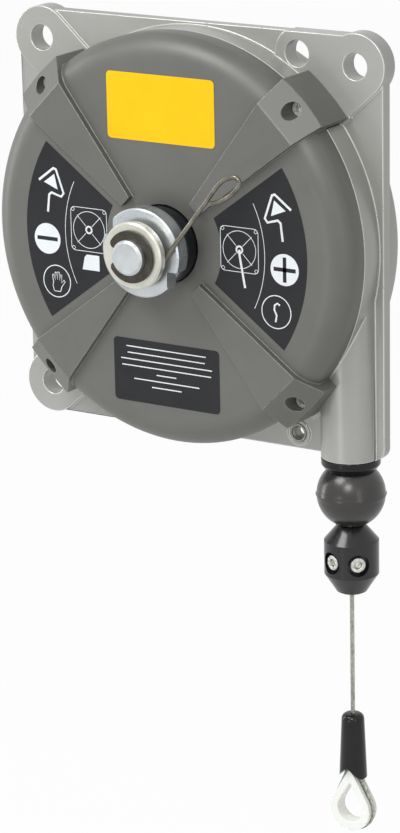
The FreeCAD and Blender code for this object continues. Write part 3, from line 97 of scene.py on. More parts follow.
soft_lamp("overhead_box", (-0.7, -1.2, 1.4), (1.0, 0.8), 21)
soft_lamp("front_box", (0.6, -1.9, 1.1), (0.8, 0.8), 17)
soft_lamp("low_strip", (-0.25, -1.55, -0.5), (0.22, 0.32), 1.3)
soft_lamp("left_box", (-2.0, -0.5, 0.1), (0.35, 1.5), 9)
soft_lamp("right_box", (1.75, -1.15, 0.1), (0.2, 1.3), 2.6)


def shader_links(owner):
    """Empties a material's or world's node tree; returns its nodes and the function that links sockets."""
    owner.use_nodes = True
    tree = owner.node_tree
    tree.nodes.clear()
    return tree.nodes, tree.links.new


def backdrop(owner, output_kind, shader_kind, colour, strength, share):
    """Plain pale surface that looks white to the lens, to gloss and through glass, and plain otherwise."""
    nodes, wire = shader_links(owner)
    out = nodes.new(output_kind)
    seen = nodes.new("ShaderNodeLightPath")
    mirrored = nodes.new("ShaderNodeMath")
    mirrored.operation = "MAXIMUM"
    wire(seen.outputs["Is Glossy Ray"], mirrored.inputs[0])
    wire(seen.outputs["Is Transmission Ray"], mirrored.inputs[1])
    either = nodes.new("ShaderNodeMath")
    either.operation = "MAXIMUM"
    wire(seen.outputs["Is Camera Ray"], either.inputs[0])
    wire(mirrored.outputs[0], either.inputs[1])
    weight = nodes.new("ShaderNodeMath")
    weight.operation = "MULTIPLY"
    weight.inputs[1].default_value = share
    wire(either.outputs[0], weight.inputs[0])
    plain = nodes.new(shader_kind)
    plain.inputs["Color"].default_value = (*colour, 1)
    if "Strength" in plain.inputs:
        plain.inputs["Strength"].default_value = strength
    white = nodes.new(shader_kind if shader_kind == "ShaderNodeBackground" else "ShaderNodeEmission")
    white.inputs["Color"].default_value = (1, 1, 1, 1)
    white.inputs["Strength"].default_value = 1
    blend = nodes.new("ShaderNodeMixShader")
    wire(weight.outputs[0], blend.inputs[0])
    wire(plain.outputs[0], blend.inputs[1])
    wire(white.outputs[0], blend.inputs[2])
    wire(blend.outputs[0], out.inputs["Surface"])


world = bpy.data.worlds.new("studio")
scene.world = world
backdrop(world, "ShaderNodeOutputWorld", "ShaderNodeBackground", (1, 1, 1), 0.3, 1.0)

floor_half_width = 6
floor_height = -0.75
bm = bmesh.new()
bmesh.ops.create_grid(bm, x_segments=1, y_segments=1, size=floor_half_width)
bmesh.ops.translate(bm, verts=bm.verts, vec=(0, 0, floor_height))
floor = bpy.data.objects.new("studio_floor", bpy.data.meshes.new("studio_floor"))
bm.to_mesh(floor.data)
scene.collection.objects.link(floor)
pale = bpy.data.materials.new("pale_floor")
backdrop(pale, "ShaderNodeOutputMaterial", "ShaderNodeBsdfDiffuse", (0.93, 0.93, 0.93), 1, 0.96)
floor.data.materials.append(pale)

# ---- Hoisting rope -----------------------------------------------------------------------------
# A 3 mm galvanised steel rope of six strands laid round a core. It drops straight out of the bush,
# through the stop ball and its clamp, and is pressed into a ferrule above the thimble.
rope_radius = 0.0015
strand_radius = rope_radius * 0.33
core_radius = rope_radius * 0.5
strand_count = 6
strand_lay = 0.0125
bush_low, bush_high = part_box("drawn_rope")
load_low, load_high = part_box("load_rope")
rope_x = (load_low.x + load_high.x) / 2
rope_y = (load_low.y + load_high.y) / 2


def rope_line(route, steps):
    """Even points along a smooth route."""
    curve = bpy.data.curves.new("route", "CURVE")
    curve.dimensions = "3D"
    curve.resolution_u = steps
    spline = curve.splines.new("NURBS")
    spline.points.add(len(route) - 1)
    for point, place in zip(spline.points, route):
        point.co = (*place, 1)
    spline.order_u = 3
    spline.use_endpoint_u = True
    guide = bpy.data.objects.new("route", curve)
    scene.collection.objects.link(guide)
    traced = bpy.data.meshes.new_from_object(guide.evaluated_get(bpy.context.evaluated_depsgraph_get()))
    line = [v.co.copy() for v in traced.vertices]
    bpy.data.objects.remove(guide)
    return line


def new_piece(name, mesh, body, material):
    """An object of one material that rides on a body, or on none yet, and fills a material slot."""
    piece = bpy.data.objects.new(name, mesh)
    scene.collection.objects.link(piece)
    mesh.materials.clear()
    mesh.materials.append(material)
    if body:
        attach(piece, body)
    return piece


def tubes(name, lines, radius, sides=3):
    """A mesh of round wires, one along each line of points."""
    curve = bpy.data.curves.new(name, "CURVE")
    curve.dimensions = "3D"
    curve.bevel_depth = radius
    curve.bevel_resolution = sides
    curve.use_fill_caps = True
    for line in lines:
        spline = curve.splines.new("POLY")
        spline.points.add(len(line) - 1)
        for point, place in zip(spline.points, line):
            point.co = (*place, 1)
    holder = bpy.data.objects.new(name, curve)
    scene.collection.objects.link(holder)
    mesh = bpy.data.meshes.new_from_object(holder.evaluated_get(bpy.context.evaluated_depsgraph_get()))
    mesh.name = name
    bpy.data.objects.remove(holder)
    for face in mesh.polygons:
        face.use_smooth = True
    return mesh


def stranded(name, line):
    """Rope of twisted strands round a core that follow a line."""
    laid_at = rope_radius - strand_radius
    turning = [[] for strand in range(strand_count)]
    travelled = 0.0
    side = None
    for i, here in enumerate(line):
        ahead = line[min(i + 1, len(line) - 1)] - line[max(i - 1, 0)]
        ahead.normalize()
        if side is None:
            side = ahead.orthogonal().normalized()
        side = (side - ahead * side.dot(ahead)).normalized()
        if i:
            travelled += (here - line[i - 1]).length
        for strand in range(strand_count):
            angle = 2 * math.pi * (travelled / strand_lay + strand / strand_count)
            turning[strand].append(here + Quaternion(ahead, angle) @ side * laid_at)
    core = tubes(name + "_core", [line], core_radius, 2)
    mesh = tubes(name, turning, strand_radius, 2)
    bm = bmesh.new()
    bm.from_mesh(mesh)
    bm.from_mesh(core)
    bm.to_mesh(mesh)
    bm.free()
    return mesh


def group_of(name, ins, outs):
    """Empty shader node group with named sockets; returns its tree, input node and output node."""
    tree = bpy.data.node_groups.new(name, "ShaderNodeTree")
    for label, kind, value in ins:
        socket = tree.interface.new_socket(label, in_out="INPUT", socket_type=kind)
        if value is not None:
            socket.default_value = value
    for label, kind in outs:
        tree.interface.new_socket(label, in_out="OUTPUT", socket_type=kind)
    return tree, tree.nodes.new("NodeGroupInput"), tree.nodes.new("NodeGroupOutput")


surface_skin, skin_in, skin_out = group_of(
    "surface_skin",
    [("Place", "NodeSocketVector", None), ("Grain Scale", "NodeSocketFloat", 900.0),
     ("Cloud Scale", "NodeSocketFloat", 25.0)],
    [("Tone", "NodeSocketFloat"), ("Relief", "NodeSocketFloat")])
grain = surface_skin.nodes.new("ShaderNodeTexNoise")
grain.inputs["Detail"].default_value = 3
cloud = surface_skin.nodes.new("ShaderNodeTexNoise")
cloud.inputs["Detail"].default_value = 5
cloud.inputs["Roughness"].default_value = 0.65
spread = surface_skin.nodes.new("ShaderNodeMapRange")
spread.inputs["From Min"].default_value = 0.3
spread.inputs["From Max"].default_value = 0.7
join = surface_skin.links.new
for noise, scale in ((grain, "Grain Scale"), (cloud, "Cloud Scale")):
    join(skin_in.outputs["Place"], noise.inputs["Vector"])
    join(skin_in.outputs[scale], noise.inputs["Scale"])
join(cloud.outputs["Fac"], spread.inputs["Value"])
join(spread.outputs["Result"], skin_out.inputs["Tone"])
join(grain.outputs["Fac"], skin_out.inputs["Relief"])


def finish_of(name, dark, light, rough, metallic=0.0, grain=900, cloud=25, relief=0.1, depth=0.0002,
              **set_plainly):
    """Surface whose colour and gloss drift a little between two values, over a fine grain."""
    material = bpy.data.materials.new(name)
    nodes, wire = shader_links(material)
    out = nodes.new("ShaderNodeOutputMaterial")
    shader = nodes.new("ShaderNodeBsdfPrincipled")
    wire(shader.outputs[0], out.inputs["Surface"])
    place = nodes.new("ShaderNodeTexCoord")
    skin = nodes.new("ShaderNodeGroup")
    skin.node_tree = surface_skin
    skin.inputs["Grain Scale"].default_value = grain
    skin.inputs["Cloud Scale"].default_value = cloud
    wire(place.outputs["Object"], skin.inputs["Place"])
    colour = nodes.new("ShaderNodeMix")
    colour.data_type = "RGBA"
    colour.inputs["A"].default_value = (*dark, 1)
    colour.inputs["B"].default_value = (*light, 1)
    wire(skin.outputs["Tone"], colour.inputs["Factor"])
    wire(colour.outputs["Result"], shader.inputs["Base Color"])
    gloss = nodes.new("ShaderNodeMapRange")
    gloss.inputs["To Min"].default_value, gloss.inputs["To Max"].default_value = rough
    wire(skin.outputs["Tone"], gloss.inputs["Value"])
    wire(gloss.outputs["Result"], shader.inputs["Roughness"])
    bump = nodes.new("ShaderNodeBump")
    bump.inputs["Strength"].default_value = relief
    bump.inputs["Distance"].default_value = depth
    wire(skin.outputs["Relief"], bump.inputs["Height"])
    wire(bump.outputs["Normal"], shader.inputs["Normal"])
    shader.inputs["Metallic"].default_value = metallic
    for socket, value in set_plainly.items():
        shader.inputs[socket.replace("_", " ")].default_value = value
    return material


galvanised_wire = finish_of("galvanised_wire", (0.20, 0.22, 0.19), (0.52, 0.55, 0.48), (0.26, 0.45),
                            metallic=0.85, grain=2500, cloud=400)

hang_points = [Vector((rope_x, rope_y, z)) for z in (bush_high.z, bush_low.z, load_low.z)]
hang_line = rope_line(hang_points, 160)
hoist_rope = new_piece("hoist_rope", stranded("hoist_rope", hang_line), None, galvanised_wire)
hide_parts("drawn_rope", "load_rope")
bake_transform(hoist_rope, "housing", "load_end", start=(rope_x, rope_y, bush_high.z),
         end=(rope_x, rope_y, bush_low.z))

loop_low, loop_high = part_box("rope_loop")
loop_radius = (loop_high.x - loop_low.x) / 2 - rope_radius
loop_z = loop_low.z + rope_radius + loop_radius
# Control points of the eye's left half, from the ferrule down to the round foot, which keeps to the
# sides of an octagon.
octagon_share = 0.414
left_side = [(-0.00175, loop_high.z), (-0.0107, loop_z + 0.0113),
             (-loop_radius, loop_z + 0.216 * loop_radius),
             (-loop_radius, loop_z - octagon_share * loop_radius),
             (-octagon_share * loop_radius, loop_z - loop_radius)]
loop_route = [Vector((rope_x + dx, rope_y, z)) for dx, z in left_side]
loop_route += [Vector((rope_x - dx, rope_y, z)) for dx, z in reversed(left_side)]
eye_line = rope_line(loop_route, 16)
eye_rope = new_piece("eye_rope", stranded("eye_rope", eye_line), "load_end", galvanised_wire)
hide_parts("rope_loop")

# ---- Rear housing ------------------------------------------------------------------------------
# Die-cast aluminium back: square plate with lugs, ring wall and rope tube in one piece, trimmed and
# lacquered in a light metallic grey-green. Its edges are rounded by the mould and painted paler,
# a painted highlight along them.
merge_gap = 1e-6
flat_within = math.radians(0.4)
needle_corner = math.radians(15)


def softened(node, name, body, material, radius, segments=2, angle=30, edge_highlight_finish=None):
    """Copy of a solid with its seams merged and its sharp edges rounded, in a second, paler finish as a
    painted highlight if one is given.

    Edges that meet in a needle-thin corner stay sharp, as a rounding there would run far past it."""
    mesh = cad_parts[node].data.copy()
    mesh.name = name
    bm = bmesh.new()
    bm.from_mesh(mesh)
    bmesh.ops.remove_doubles(bm, verts=bm.verts, dist=merge_gap)
    bmesh.ops.dissolve_limit(bm, angle_limit=flat_within, verts=bm.verts, edges=bm.edges)
    for face in bm.faces:
        face.smooth = True
    weight = bm.edges.layers.float.new("bevel_weight_edge")
    sharp = {edge for edge in bm.edges
             if len(edge.link_faces) == 2 and edge.calc_face_angle() > math.radians(angle)}
    for edge in sharp:
        edge[weight] = 1.0
    for corner in bm.verts:
        rays = [(edge, (edge.other_vert(corner).co - corner.co).normalized())
                for edge in corner.link_edges if edge in sharp]
        for index, (edge, ray) in enumerate(rays):
            for other_edge, other_ray in rays[index + 1:]:
                if ray.dot(other_ray) > math.cos(needle_corner):
                    edge[weight] = 0.0
                    other_edge[weight] = 0.0
    bm.to_mesh(mesh)
    bm.free()
    for layer in list(mesh.attributes):
        if layer.name in ("custom_normal", "sharp_edge", "sharp_face"):
            mesh.attributes.remove(layer)
    piece = new_piece(name, mesh, body, material)
    bevel = piece.modifiers.new("rounded_edges", "BEVEL")
    bevel.width = radius
    bevel.segments = segments
    bevel.limit_method = "WEIGHT"
    bevel.harden_normals = True
    bevel.use_clamp_overlap = edge_highlight_finish is None
    # The rounded edges take the paler finish, a painted highlight.
    if edge_highlight_finish:
        mesh.materials.append(edge_highlight_finish)
        bevel.material = 1
    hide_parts(node)
    return piece


housing_lacquer = finish_of("housing_lacquer", (0.355, 0.36, 0.335), (0.405, 0.41, 0.385), (0.28, 0.36),
                            metallic=0.28, grain=1600, cloud=14, relief=0.12, depth=0.0003)
# Paler finish of the rounded edges: a painted highlight along them.
housing_edge_highlight = finish_of("housing_edge_highlight", (0.52, 0.53, 0.50), (0.60, 0.61, 0.58), (0.26, 0.32), metallic=0.45,
                         grain=1600, cloud=60)
softened("rear_housing", "cast_housing", "housing", housing_lacquer, 0.0007, 3,
         edge_highlight_finish=housing_edge_highlight)

# ---- Corner bush -------------------------------------------------------------------------------
# Small turned steel bush with a countersunk mouth, pressed flush into the plate's low edge. Its zinc
# plating has gone dull.
dull_zinc = finish_of("dull_zinc", (0.22, 0.22, 0.19), (0.40, 0.40, 0.36), (0.38, 0.5), metallic=0.55,
                      cloud=300)
softened("corner_bush", "edge_bush", "housing", dull_zinc, 0.0003)

# ---- Front cover -------------------------------------------------------------------------------
# Die-cast aluminium cover, dished, with four ribs that widen to the corners. It is lacquered in a
# warm dark grey semi-gloss with a fine orange-peel skin. A plastic ring in its hole centres the hub.
cover_lacquer = finish_of("cover_lacquer", (0.122, 0.122, 0.112), (0.144, 0.144, 0.133), (0.38, 0.46),
                          metallic=0.15, grain=1300, cloud=16, relief=0.16, depth=0.0003)
# Paler finish of the rounded edges: a painted highlight along them.
cover_edge_highlight = finish_of("cover_edge_highlight", (0.14, 0.14, 0.13), (0.215, 0.215, 0.20), (0.26, 0.34), metallic=0.25,
                       grain=1300, cloud=200)
softened("front_cover", "dished_cover", "housing", cover_lacquer, 0.0006, 3, edge_highlight_finish=cover_edge_highlight)
nylon = finish_of("natural_nylon", (0.62, 0.60, 0.50), (0.72, 0.70, 0.62), (0.4, 0.5))
softened("cover_bush", "cover_ring", "housing", nylon, 0.0003)

# ---- Cover screws ------------------------------------------------------------------------------
# Four M6 socket head screws sunk in the ribs' ends. Their zinc is rough and flecked, and its colour
# is painted up to white, a painted light, so that they stay light in the shade of their deep pockets.
screw_zinc = finish_of("screw_zinc", (0.45, 0.45, 0.43), (1.0, 1.0, 0.97), (0.2, 0.45), metallic=0.35,
                       cloud=650, grain=1500, relief=0.6, depth=0.0006)
softened("cover_screws", "socket_screws", "housing", screw_zinc, 0.00035)

# ---- Labels ------------------------------------------------------------------------------------
# Printed plastic films stuck on the cover: a plain yellow one at the top, a black one with ruled
# lines below, and two black dial sectors with plain arrows, plus and minus discs and simple signs.
yellow_film = finish_of("yellow_film", (0.90, 0.52, 0.003), (0.96, 0.58, 0.006), (0.3, 0.36), grain=700,
                        cloud=30, relief=0.03, Specular_IOR_Level=0.25)
black_film = finish_of("black_film", (0.011, 0.0115, 0.014), (0.017, 0.0175, 0.021), (0.34, 0.42),
                       cloud=30, relief=0.05, Specular_IOR_Level=0.3)
softened("upper_label", "yellow_label", "housing", yellow_film, 0.0001, 1)
softened("lower_label", "black_label", "housing", black_film, 0.0001, 1)
softened("left_dial_label", "left_dial", "housing", black_film, 0.0001, 1)
softened("right_dial_label", "right_dial", "housing", black_film, 0.0001, 1)

white_ink = finish_of("white_ink", (0.74, 0.78, 0.80), (0.82, 0.86, 0.87), (0.35, 0.42), cloud=60,
                      relief=0.03)
axle_low, axle_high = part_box("axle")
hub_x = (axle_low.x + axle_high.x) / 2
hub_z = (axle_low.z + axle_high.z) / 2
film_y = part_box("left_dial_label")[0].y
print_height = 0.00006
raised_print = 0.00004


def on_dial(side, x, z):
    """Place on the dials' film, x outwards and z upwards from the hub in millimetres."""
    return Vector((hub_x + side * x / 1000, film_y - print_height / 2, hub_z + z / 1000))


def pressed_flat(mesh):
    """Squeezes a mark to the thickness of ink on the film."""
    bm = bmesh.new()
    bm.from_mesh(mesh)
    low = min(v.co.y for v in bm.verts)
    high = max(v.co.y for v in bm.verts)
    for v in bm.verts:
        v.co.y = film_y - print_height * (high - v.co.y) / (high - low)
    bmesh.ops.recalc_face_normals(bm, faces=bm.faces)
    bm.to_mesh(mesh)
    bm.free()
    return mesh


def inked_lines(name, lines, width, material):
    """Printed lines of one width in millimetres."""
    new_piece(name, pressed_flat(tubes(name, lines, width / 2000, 3)), "housing", material)


def inked_shape(name, outline, material, lift=0.0):
    """A filled mark with the given outline."""
    bm = bmesh.new()
    ring = [bm.verts.new(place) for place in outline]
    face = bm.faces.new(ring)
    solid = bmesh.ops.extrude_face_region(bm, geom=[face])
    raised = [v for v in solid["geom"] if isinstance(v, bmesh.types.BMVert)]
    bmesh.ops.translate(bm, verts=raised, vec=(0, -0.0001, 0))
    mesh = bpy.data.meshes.new(name)
    bmesh.ops.recalc_face_normals(bm, faces=bm.faces)
    bm.to_mesh(mesh)
    bm.free()
    pressed_flat(mesh)
    mesh.transform(Matrix.Translation((0, -lift, 0)))
    new_piece(name, mesh, "housing", material)


def round_of(side, x, z, radius, first=0, last=360, steps=40):
    """Points of an arc on a dial in degrees; a whole circle leaves out its last point."""
    return [on_dial(side, x + radius * math.cos(math.radians(first + (last - first) * i / steps)),
                    z + radius * math.sin(math.radians(first + (last - first) * i / steps)))
            for i in range(steps + (0 if last - first == 360 else 1))]


def closed(ring):
    """The points of a ring with the first one again at the end."""
    return ring + ring[:1]


hairline = 0.45
disc_x, disc_z = 90.7, -6.3
ring_x, ring_z = 84.2, -34.4
wheel_x, wheel_z = 57.5, 3
eyelet_in = 1.6
arrow_bend = [(95.9, 32.6), (84.2, 41.4), (82.2, 40.7), (76.7, 25.4), (78.6, 22.9), (86.2, 25.0),
              (88.2, 23.4), (89.6, 11.8)]
arrow_head = [(83.7, 37.6), (92.0, 31.6), (81.3, 27.4)]
for side, hand in ((-1, "left"), (1, "right")):
    inked_lines(hand + "_arrow", [[on_dial(side, x, z) for x, z in arrow_bend]], 1.75, white_ink)
    inked_shape(hand + "_arrow_head", [on_dial(side, x, z) for x, z in arrow_head], white_ink)
    inked_shape(hand + "_sign_disc", round_of(side, disc_x, disc_z, 10.3), white_ink)
    inked_lines(hand + "_sector_line", [round_of(side, 0, 0, 76.2, -26.5, 26.5)], hairline, white_ink)
    inked_lines(hand + "_ring", [closed(round_of(side, ring_x, ring_z, 10.7))], 0.7, white_ink)
    frame_line = []
    for x, z, start in ((68.5, 14.5, 0), (46.5, 14.5, 90), (46.5, -8.5, 180), (68.5, -8.5, 270)):
        frame_line += round_of(side, x, z, 3, start, start + 90, 5)
    wheel = round_of(side, wheel_x, wheel_z, 12.2)
    hub_ring = round_of(side, wheel_x, wheel_z, 2.2)
    spokes = [[on_dial(side, wheel_x + dx * 3, wheel_z + dz * 3),
               on_dial(side, wheel_x + dx * 11.5, wheel_z + dz * 11.5)]
              for dx in (-0.8, 0.8) for dz in (-0.8, 0.8)]
    inked_lines(hand + "_diagram", [closed(frame_line), closed(wheel)] + spokes, hairline, white_ink)
    inked_lines(hand + "_diagram_hub", [closed(hub_ring)], 1.3, white_ink)

    for mark, (x, z) in enumerate(((43.6, 17.4), (71.4, 17.4), (43.6, -11.4), (71.4, -11.4))):
        eyelet = round_of(side, x + math.copysign(eyelet_in, wheel_x - x),
                          z + math.copysign(eyelet_in, wheel_z - z), 1.1, steps=12)
        inked_lines(f"{hand}_diagram_eyelet_{mark}", [closed(eyelet)], 0.4, white_ink)

# An open hand in the left ring, a bent lever in the right one, a crank on the right diagram and a
# weight beside the left one.
palm = [(-2.6, -6.8), (-3.6, -3.6), (-6.4, 0.2), (-5.6, 1.2), (-3.6, -0.8), (-3.9, 4.4), (-2.9, 4.6),
        (-2.1, 0.6), (-1.9, 6.2), (-0.8, 6.3), (-0.4, 0.8), (0.4, 6.0), (1.5, 5.8), (1.3, 0.6), (2.6, 4.4),
        (3.6, 4.0), (2.9, -0.8), (3.4, -3.2), (2.4, -6.8), (-2.6, -6.8)]
inked_lines("open_hand", [[on_dial(-1, ring_x + x, ring_z + z) for x, z in palm]], 0.6, white_ink)
lever = [(-0.6, -6.6), (0.2, -2.2), (-1.5, 1.4), (-1.2, 4.4), (0.9, 5.8), (2.7, 4.6)]
inked_lines("lever_mark", [[on_dial(1, ring_x + x, ring_z + z) for x, z in lever]], 1.3, white_ink)
crank = [(wheel_x, wheel_z), (57.6, -1), (61.3, -21.5)]
inked_lines("crank_mark", [[on_dial(1, x, z) for x, z in crank]], 1.7, white_ink)
weight = [(63.4, -23.9), (61.6, -15.6), (59.8, -13.6), (50.0, -13.6), (50.0, -23.9)]
inked_shape("weight_mark", [on_dial(-1, x, z) for x, z in weight], white_ink)

# Ruled lines of several lengths on the lower label, in millimetres from the hub.
film_low, film_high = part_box("lower_label")
film_x = (film_low.x + film_high.x) / 2 - hub_x
print_share = 0.94
first_row, row_pitch = 5.2, 4.3
for row, share in enumerate((0.80, 0.78, 0.92, 0.90, 0.2, 0.66, 0.3)):
    reach = share * (film_high.x - film_low.x) * 500 * print_share
    height = (film_high.z - hub_z) * 1000 - first_row - row_pitch * row
    ends = [(film_x * 1000 - reach, height), (film_x * 1000 + reach, height)]
    inked_lines(f"ruled_line_{row}", [[on_dial(1, x, z) for x, z in ends]], 0.8, white_ink)

bar_half_width = 1.3
signs = {"minus": [(-1, 82.6, -6.2, 98.8, -6.2)],
         "plus": [(1, 82.6, disc_z, 98.8, disc_z), (1, disc_x, -14.4, disc_x, 1.8)]}
for name, bars in signs.items():
    for i, (side, x0, z0, x1, z1) in enumerate(bars):
        up = bar_half_width if x0 != x1 else 0
        out = bar_half_width if x0 == x1 else 0
        corners = [(x0 - out, z0 - up), (x1 + out, z0 - up), (x1 + out, z1 + up), (x0 - out, z1 + up)]
        inked_shape(f"{name}_bar_{i}", [on_dial(side, x, z) for x, z in corners], black_film,
                    lift=raised_print)

# ---- Axle, collar and retaining ring -----------------------------------------------------------
# Fixed steel axle with a dark spring ring in its groove; the ring holds a yellowish zinc-plated
# thrust collar that is keyed to the axle. Turned faces show fine rings from the lathe.
turning_marks, marks_in, marks_out = group_of(
    "turning_marks", [("Place", "NodeSocketVector", None), ("Pitch", "NodeSocketFloat", 1800.0)],
    [("Lines", "NodeSocketFloat")])
split = turning_marks.nodes.new("ShaderNodeSeparateXYZ")
flat = turning_marks.nodes.new("ShaderNodeCombineXYZ")
reach = turning_marks.nodes.new("ShaderNodeVectorMath")
reach.operation = "LENGTH"
from_axis = turning_marks.nodes.new("ShaderNodeCombineXYZ")
lathe = turning_marks.nodes.new("ShaderNodeTexNoise")
lathe.inputs["Detail"].default_value = 2
join = turning_marks.links.new
join(marks_in.outputs["Place"], split.inputs[0])
join(split.outputs["X"], flat.inputs["X"])
join(split.outputs["Z"], flat.inputs["Z"])
join(flat.outputs[0], reach.inputs[0])
join(reach.outputs["Value"], from_axis.inputs["X"])
join(split.outputs["Y"], from_axis.inputs["Y"])
join(from_axis.outputs[0], lathe.inputs["Vector"])
join(marks_in.outputs["Pitch"], lathe.inputs["Scale"])
join(lathe.outputs["Fac"], marks_out.inputs["Lines"])


def turned_finish(name, dark, light, rough, centre=(hub_x, 0, hub_z), pitch=1500, mark=0.25, **rest):
    """Plated surface with lathe marks round an axis along Y."""
    material = finish_of(name, dark, light, rough, **rest)
    nodes = material.node_tree.nodes
    wire = material.node_tree.links.new
    place = next(n for n in nodes if n.type == "TEX_COORD")
    skin_bump = next(n for n in nodes if n.type == "BUMP")
    centred = nodes.new("ShaderNodeMapping")
    centred.inputs["Location"].default_value = [-c for c in centre]
    wire(place.outputs["Object"], centred.inputs["Vector"])
    marks = nodes.new("ShaderNodeGroup")
    marks.node_tree = turning_marks
    marks.inputs["Pitch"].default_value = pitch
    wire(centred.outputs[0], marks.inputs["Place"])
    lined = nodes.new("ShaderNodeBump")
    lined.inputs["Strength"].default_value = mark
    lined.inputs["Distance"].default_value = 0.0001
    wire(marks.outputs["Lines"], lined.inputs["Height"])
    wire(lined.outputs["Normal"], skin_bump.inputs["Normal"])
    return material


axle_zinc = turned_finish("axle_zinc", (0.46, 0.49, 0.50), (0.60, 0.63, 0.64), (0.30, 0.42),
                          metallic=0.8, cloud=60)
cream_zinc = turned_finish("cream_zinc", (0.56, 0.555, 0.49), (0.68, 0.675, 0.61), (0.28, 0.38),
                           metallic=0.7, cloud=60)
blue_zinc = turned_finish("blue_zinc", (0.42, 0.46, 0.50), (0.62, 0.65, 0.66), (0.22, 0.34),
                          metallic=0.85, cloud=45)
oiled_steel = finish_of("oiled_steel", (0.040, 0.036, 0.029), (0.085, 0.078, 0.064), (0.26, 0.40),
                        metallic=0.7, cloud=150)
softened("axle", "fixed_axle", "housing", axle_zinc, 0.0004)
softened("collar_key", "square_key", "housing", oiled_steel, 0.0002)
softened("retaining_ring", "spring_clip", "housing", oiled_steel, 0.0003)
softened("thrust_collar", "turned_collar", "housing", cream_zinc, 0.0005)

# ---- Adjusting hub -----------------------------------------------------------------------------
# Long steel sleeve on the axle: a flange with two notches for the key, a barrel through the cover
# and the spring's arbor with a wire clip. Its bluish zinc is painted near black behind the flange,
# a painted shade where the barrel sits in the cover's hole.
flange_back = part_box("adjusting_hub")[0].y + 0.0075
darkens_over = 0.012
nodes = blue_zinc.node_tree.nodes
wire = blue_zinc.node_tree.links.new
shader = next(n for n in nodes if n.type == "BSDF_PRINCIPLED")
plated = shader.inputs["Base Color"].links[0].from_socket
# Painted shade: the hub's colour turns near black from the flange's back towards the cover.
depth_in = nodes.new("ShaderNodeSeparateXYZ")
wire(next(n for n in nodes if n.type == "TEX_COORD").outputs["Object"], depth_in.inputs[0])
painted_shade_ramp = nodes.new("ShaderNodeMapRange")
painted_shade_ramp.interpolation_type = "SMOOTHSTEP"
painted_shade_ramp.inputs["From Min"].default_value = flange_back
painted_shade_ramp.inputs["From Max"].default_value = flange_back + darkens_over
wire(depth_in.outputs["Y"], painted_shade_ramp.inputs["Value"])
painted_shade_mix = nodes.new("ShaderNodeMix")
painted_shade_mix.data_type = "RGBA"
painted_shade_mix.inputs["B"].default_value = (0.035, 0.038, 0.048, 1)
wire(painted_shade_ramp.outputs["Result"], painted_shade_mix.inputs["Factor"])
wire(plated, painted_shade_mix.inputs["A"])
wire(painted_shade_mix.outputs["Result"], shader.inputs["Base Color"])
softened("adjusting_hub", "winding_hub", "adjuster", blue_zinc, 0.0005)
softened("arbor_clip", "wire_clip", "adjuster", oiled_steel, 0.0002)

# ---- Brake spring ------------------------------------------------------------------------------
# Wrap spring of brownish hard-drawn wire round the collar and the hub; its long tail ends in a
# finger eye and is pressed to let the hub slip back. The wire is round and hardly needs rounding.
drawn_wire = finish_of("drawn_wire", (0.12, 0.112, 0.092), (0.25, 0.235, 0.20), (0.18, 0.28),
                       metallic=0.85, cloud=110, grain=2500)
softened("brake_spring", "brake_wire", "brake", drawn_wire, 0.00002, 1, 80)

# ---- Rear washer and nut -----------------------------------------------------------------------
# Thick washer and hexagon nut that clamp the axle to the housing's back. They are bright zinc
# plated, as the drum's sheet parts and screws are.
zinc_plate = finish_of("zinc_plate", (0.42, 0.43, 0.42), (0.60, 0.61, 0.60), (0.22, 0.36), metallic=0.9,
                       grain=1500, cloud=120, relief=0.08)
softened("axle_washer", "rear_washer", "housing", zinc_plate, 0.0003)
softened("axle_nut", "rear_nut", "housing", zinc_plate, 0.0006)

# ---- Bearings, drum and power spring -----------------------------------------------------------
# Hidden inside: two ball bearings with nylon cages, the cast and machined rope drum with its rear
# plate, the sheet spring case, the strip spring and the rope in the drum's grooves.
ground_steel = finish_of("ground_steel", (0.60, 0.60, 0.60), (0.70, 0.70, 0.70), (0.12, 0.2), metallic=0.95)
machined_alloy = turned_finish("machined_alloy", (0.52, 0.52, 0.50), (0.62, 0.62, 0.60), (0.3, 0.45),
                               metallic=0.8)
laid_rope = finish_of("laid_rope", (0.22, 0.22, 0.21), (0.5, 0.5, 0.48), (0.3, 0.5), metallic=0.8,
                      cloud=600, relief=0.6, depth=0.0004)
inner_finishes = {
    "front_bearing_inner_race": ground_steel, "front_bearing_outer_race": ground_steel,
    "front_bearing_balls": ground_steel, "front_bearing_cage": nylon,
    "rear_bearing_inner_race": ground_steel, "rear_bearing_outer_race": ground_steel,
    "rear_bearing_balls": ground_steel, "rear_bearing_cage": nylon,
    "rope_drum": machined_alloy, "drum_plate": machined_alloy, "drum_plate_screws": zinc_plate,
    "spring_case": zinc_plate, "spring_case_lid": zinc_plate, "power_spring": drawn_wire,
    "rope_anchor": zinc_plate, "wound_rope": laid_rope, "tube_rope": laid_rope}
for node, material in inner_finishes.items():
    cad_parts[node].data.materials.clear()
    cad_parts[node].data.materials.append(material)

# ---- Exit bush, stop ball and clamp ------------------------------------------------------------
# Black moulded guide in the tube's mouth; a rubber buffer ball with a moulding seam bears on it.
# Under the ball a black lacquered clamp grips the rope on a split brass sleeve by four screws.
black_moulding = finish_of("black_moulding", (0.004, 0.004, 0.0043), (0.008, 0.008, 0.0085), (0.12, 0.2),
                           cloud=60, Specular_IOR_Level=0.32)
softened("exit_bush", "tube_guide", "housing", black_moulding, 0.0006, 3)

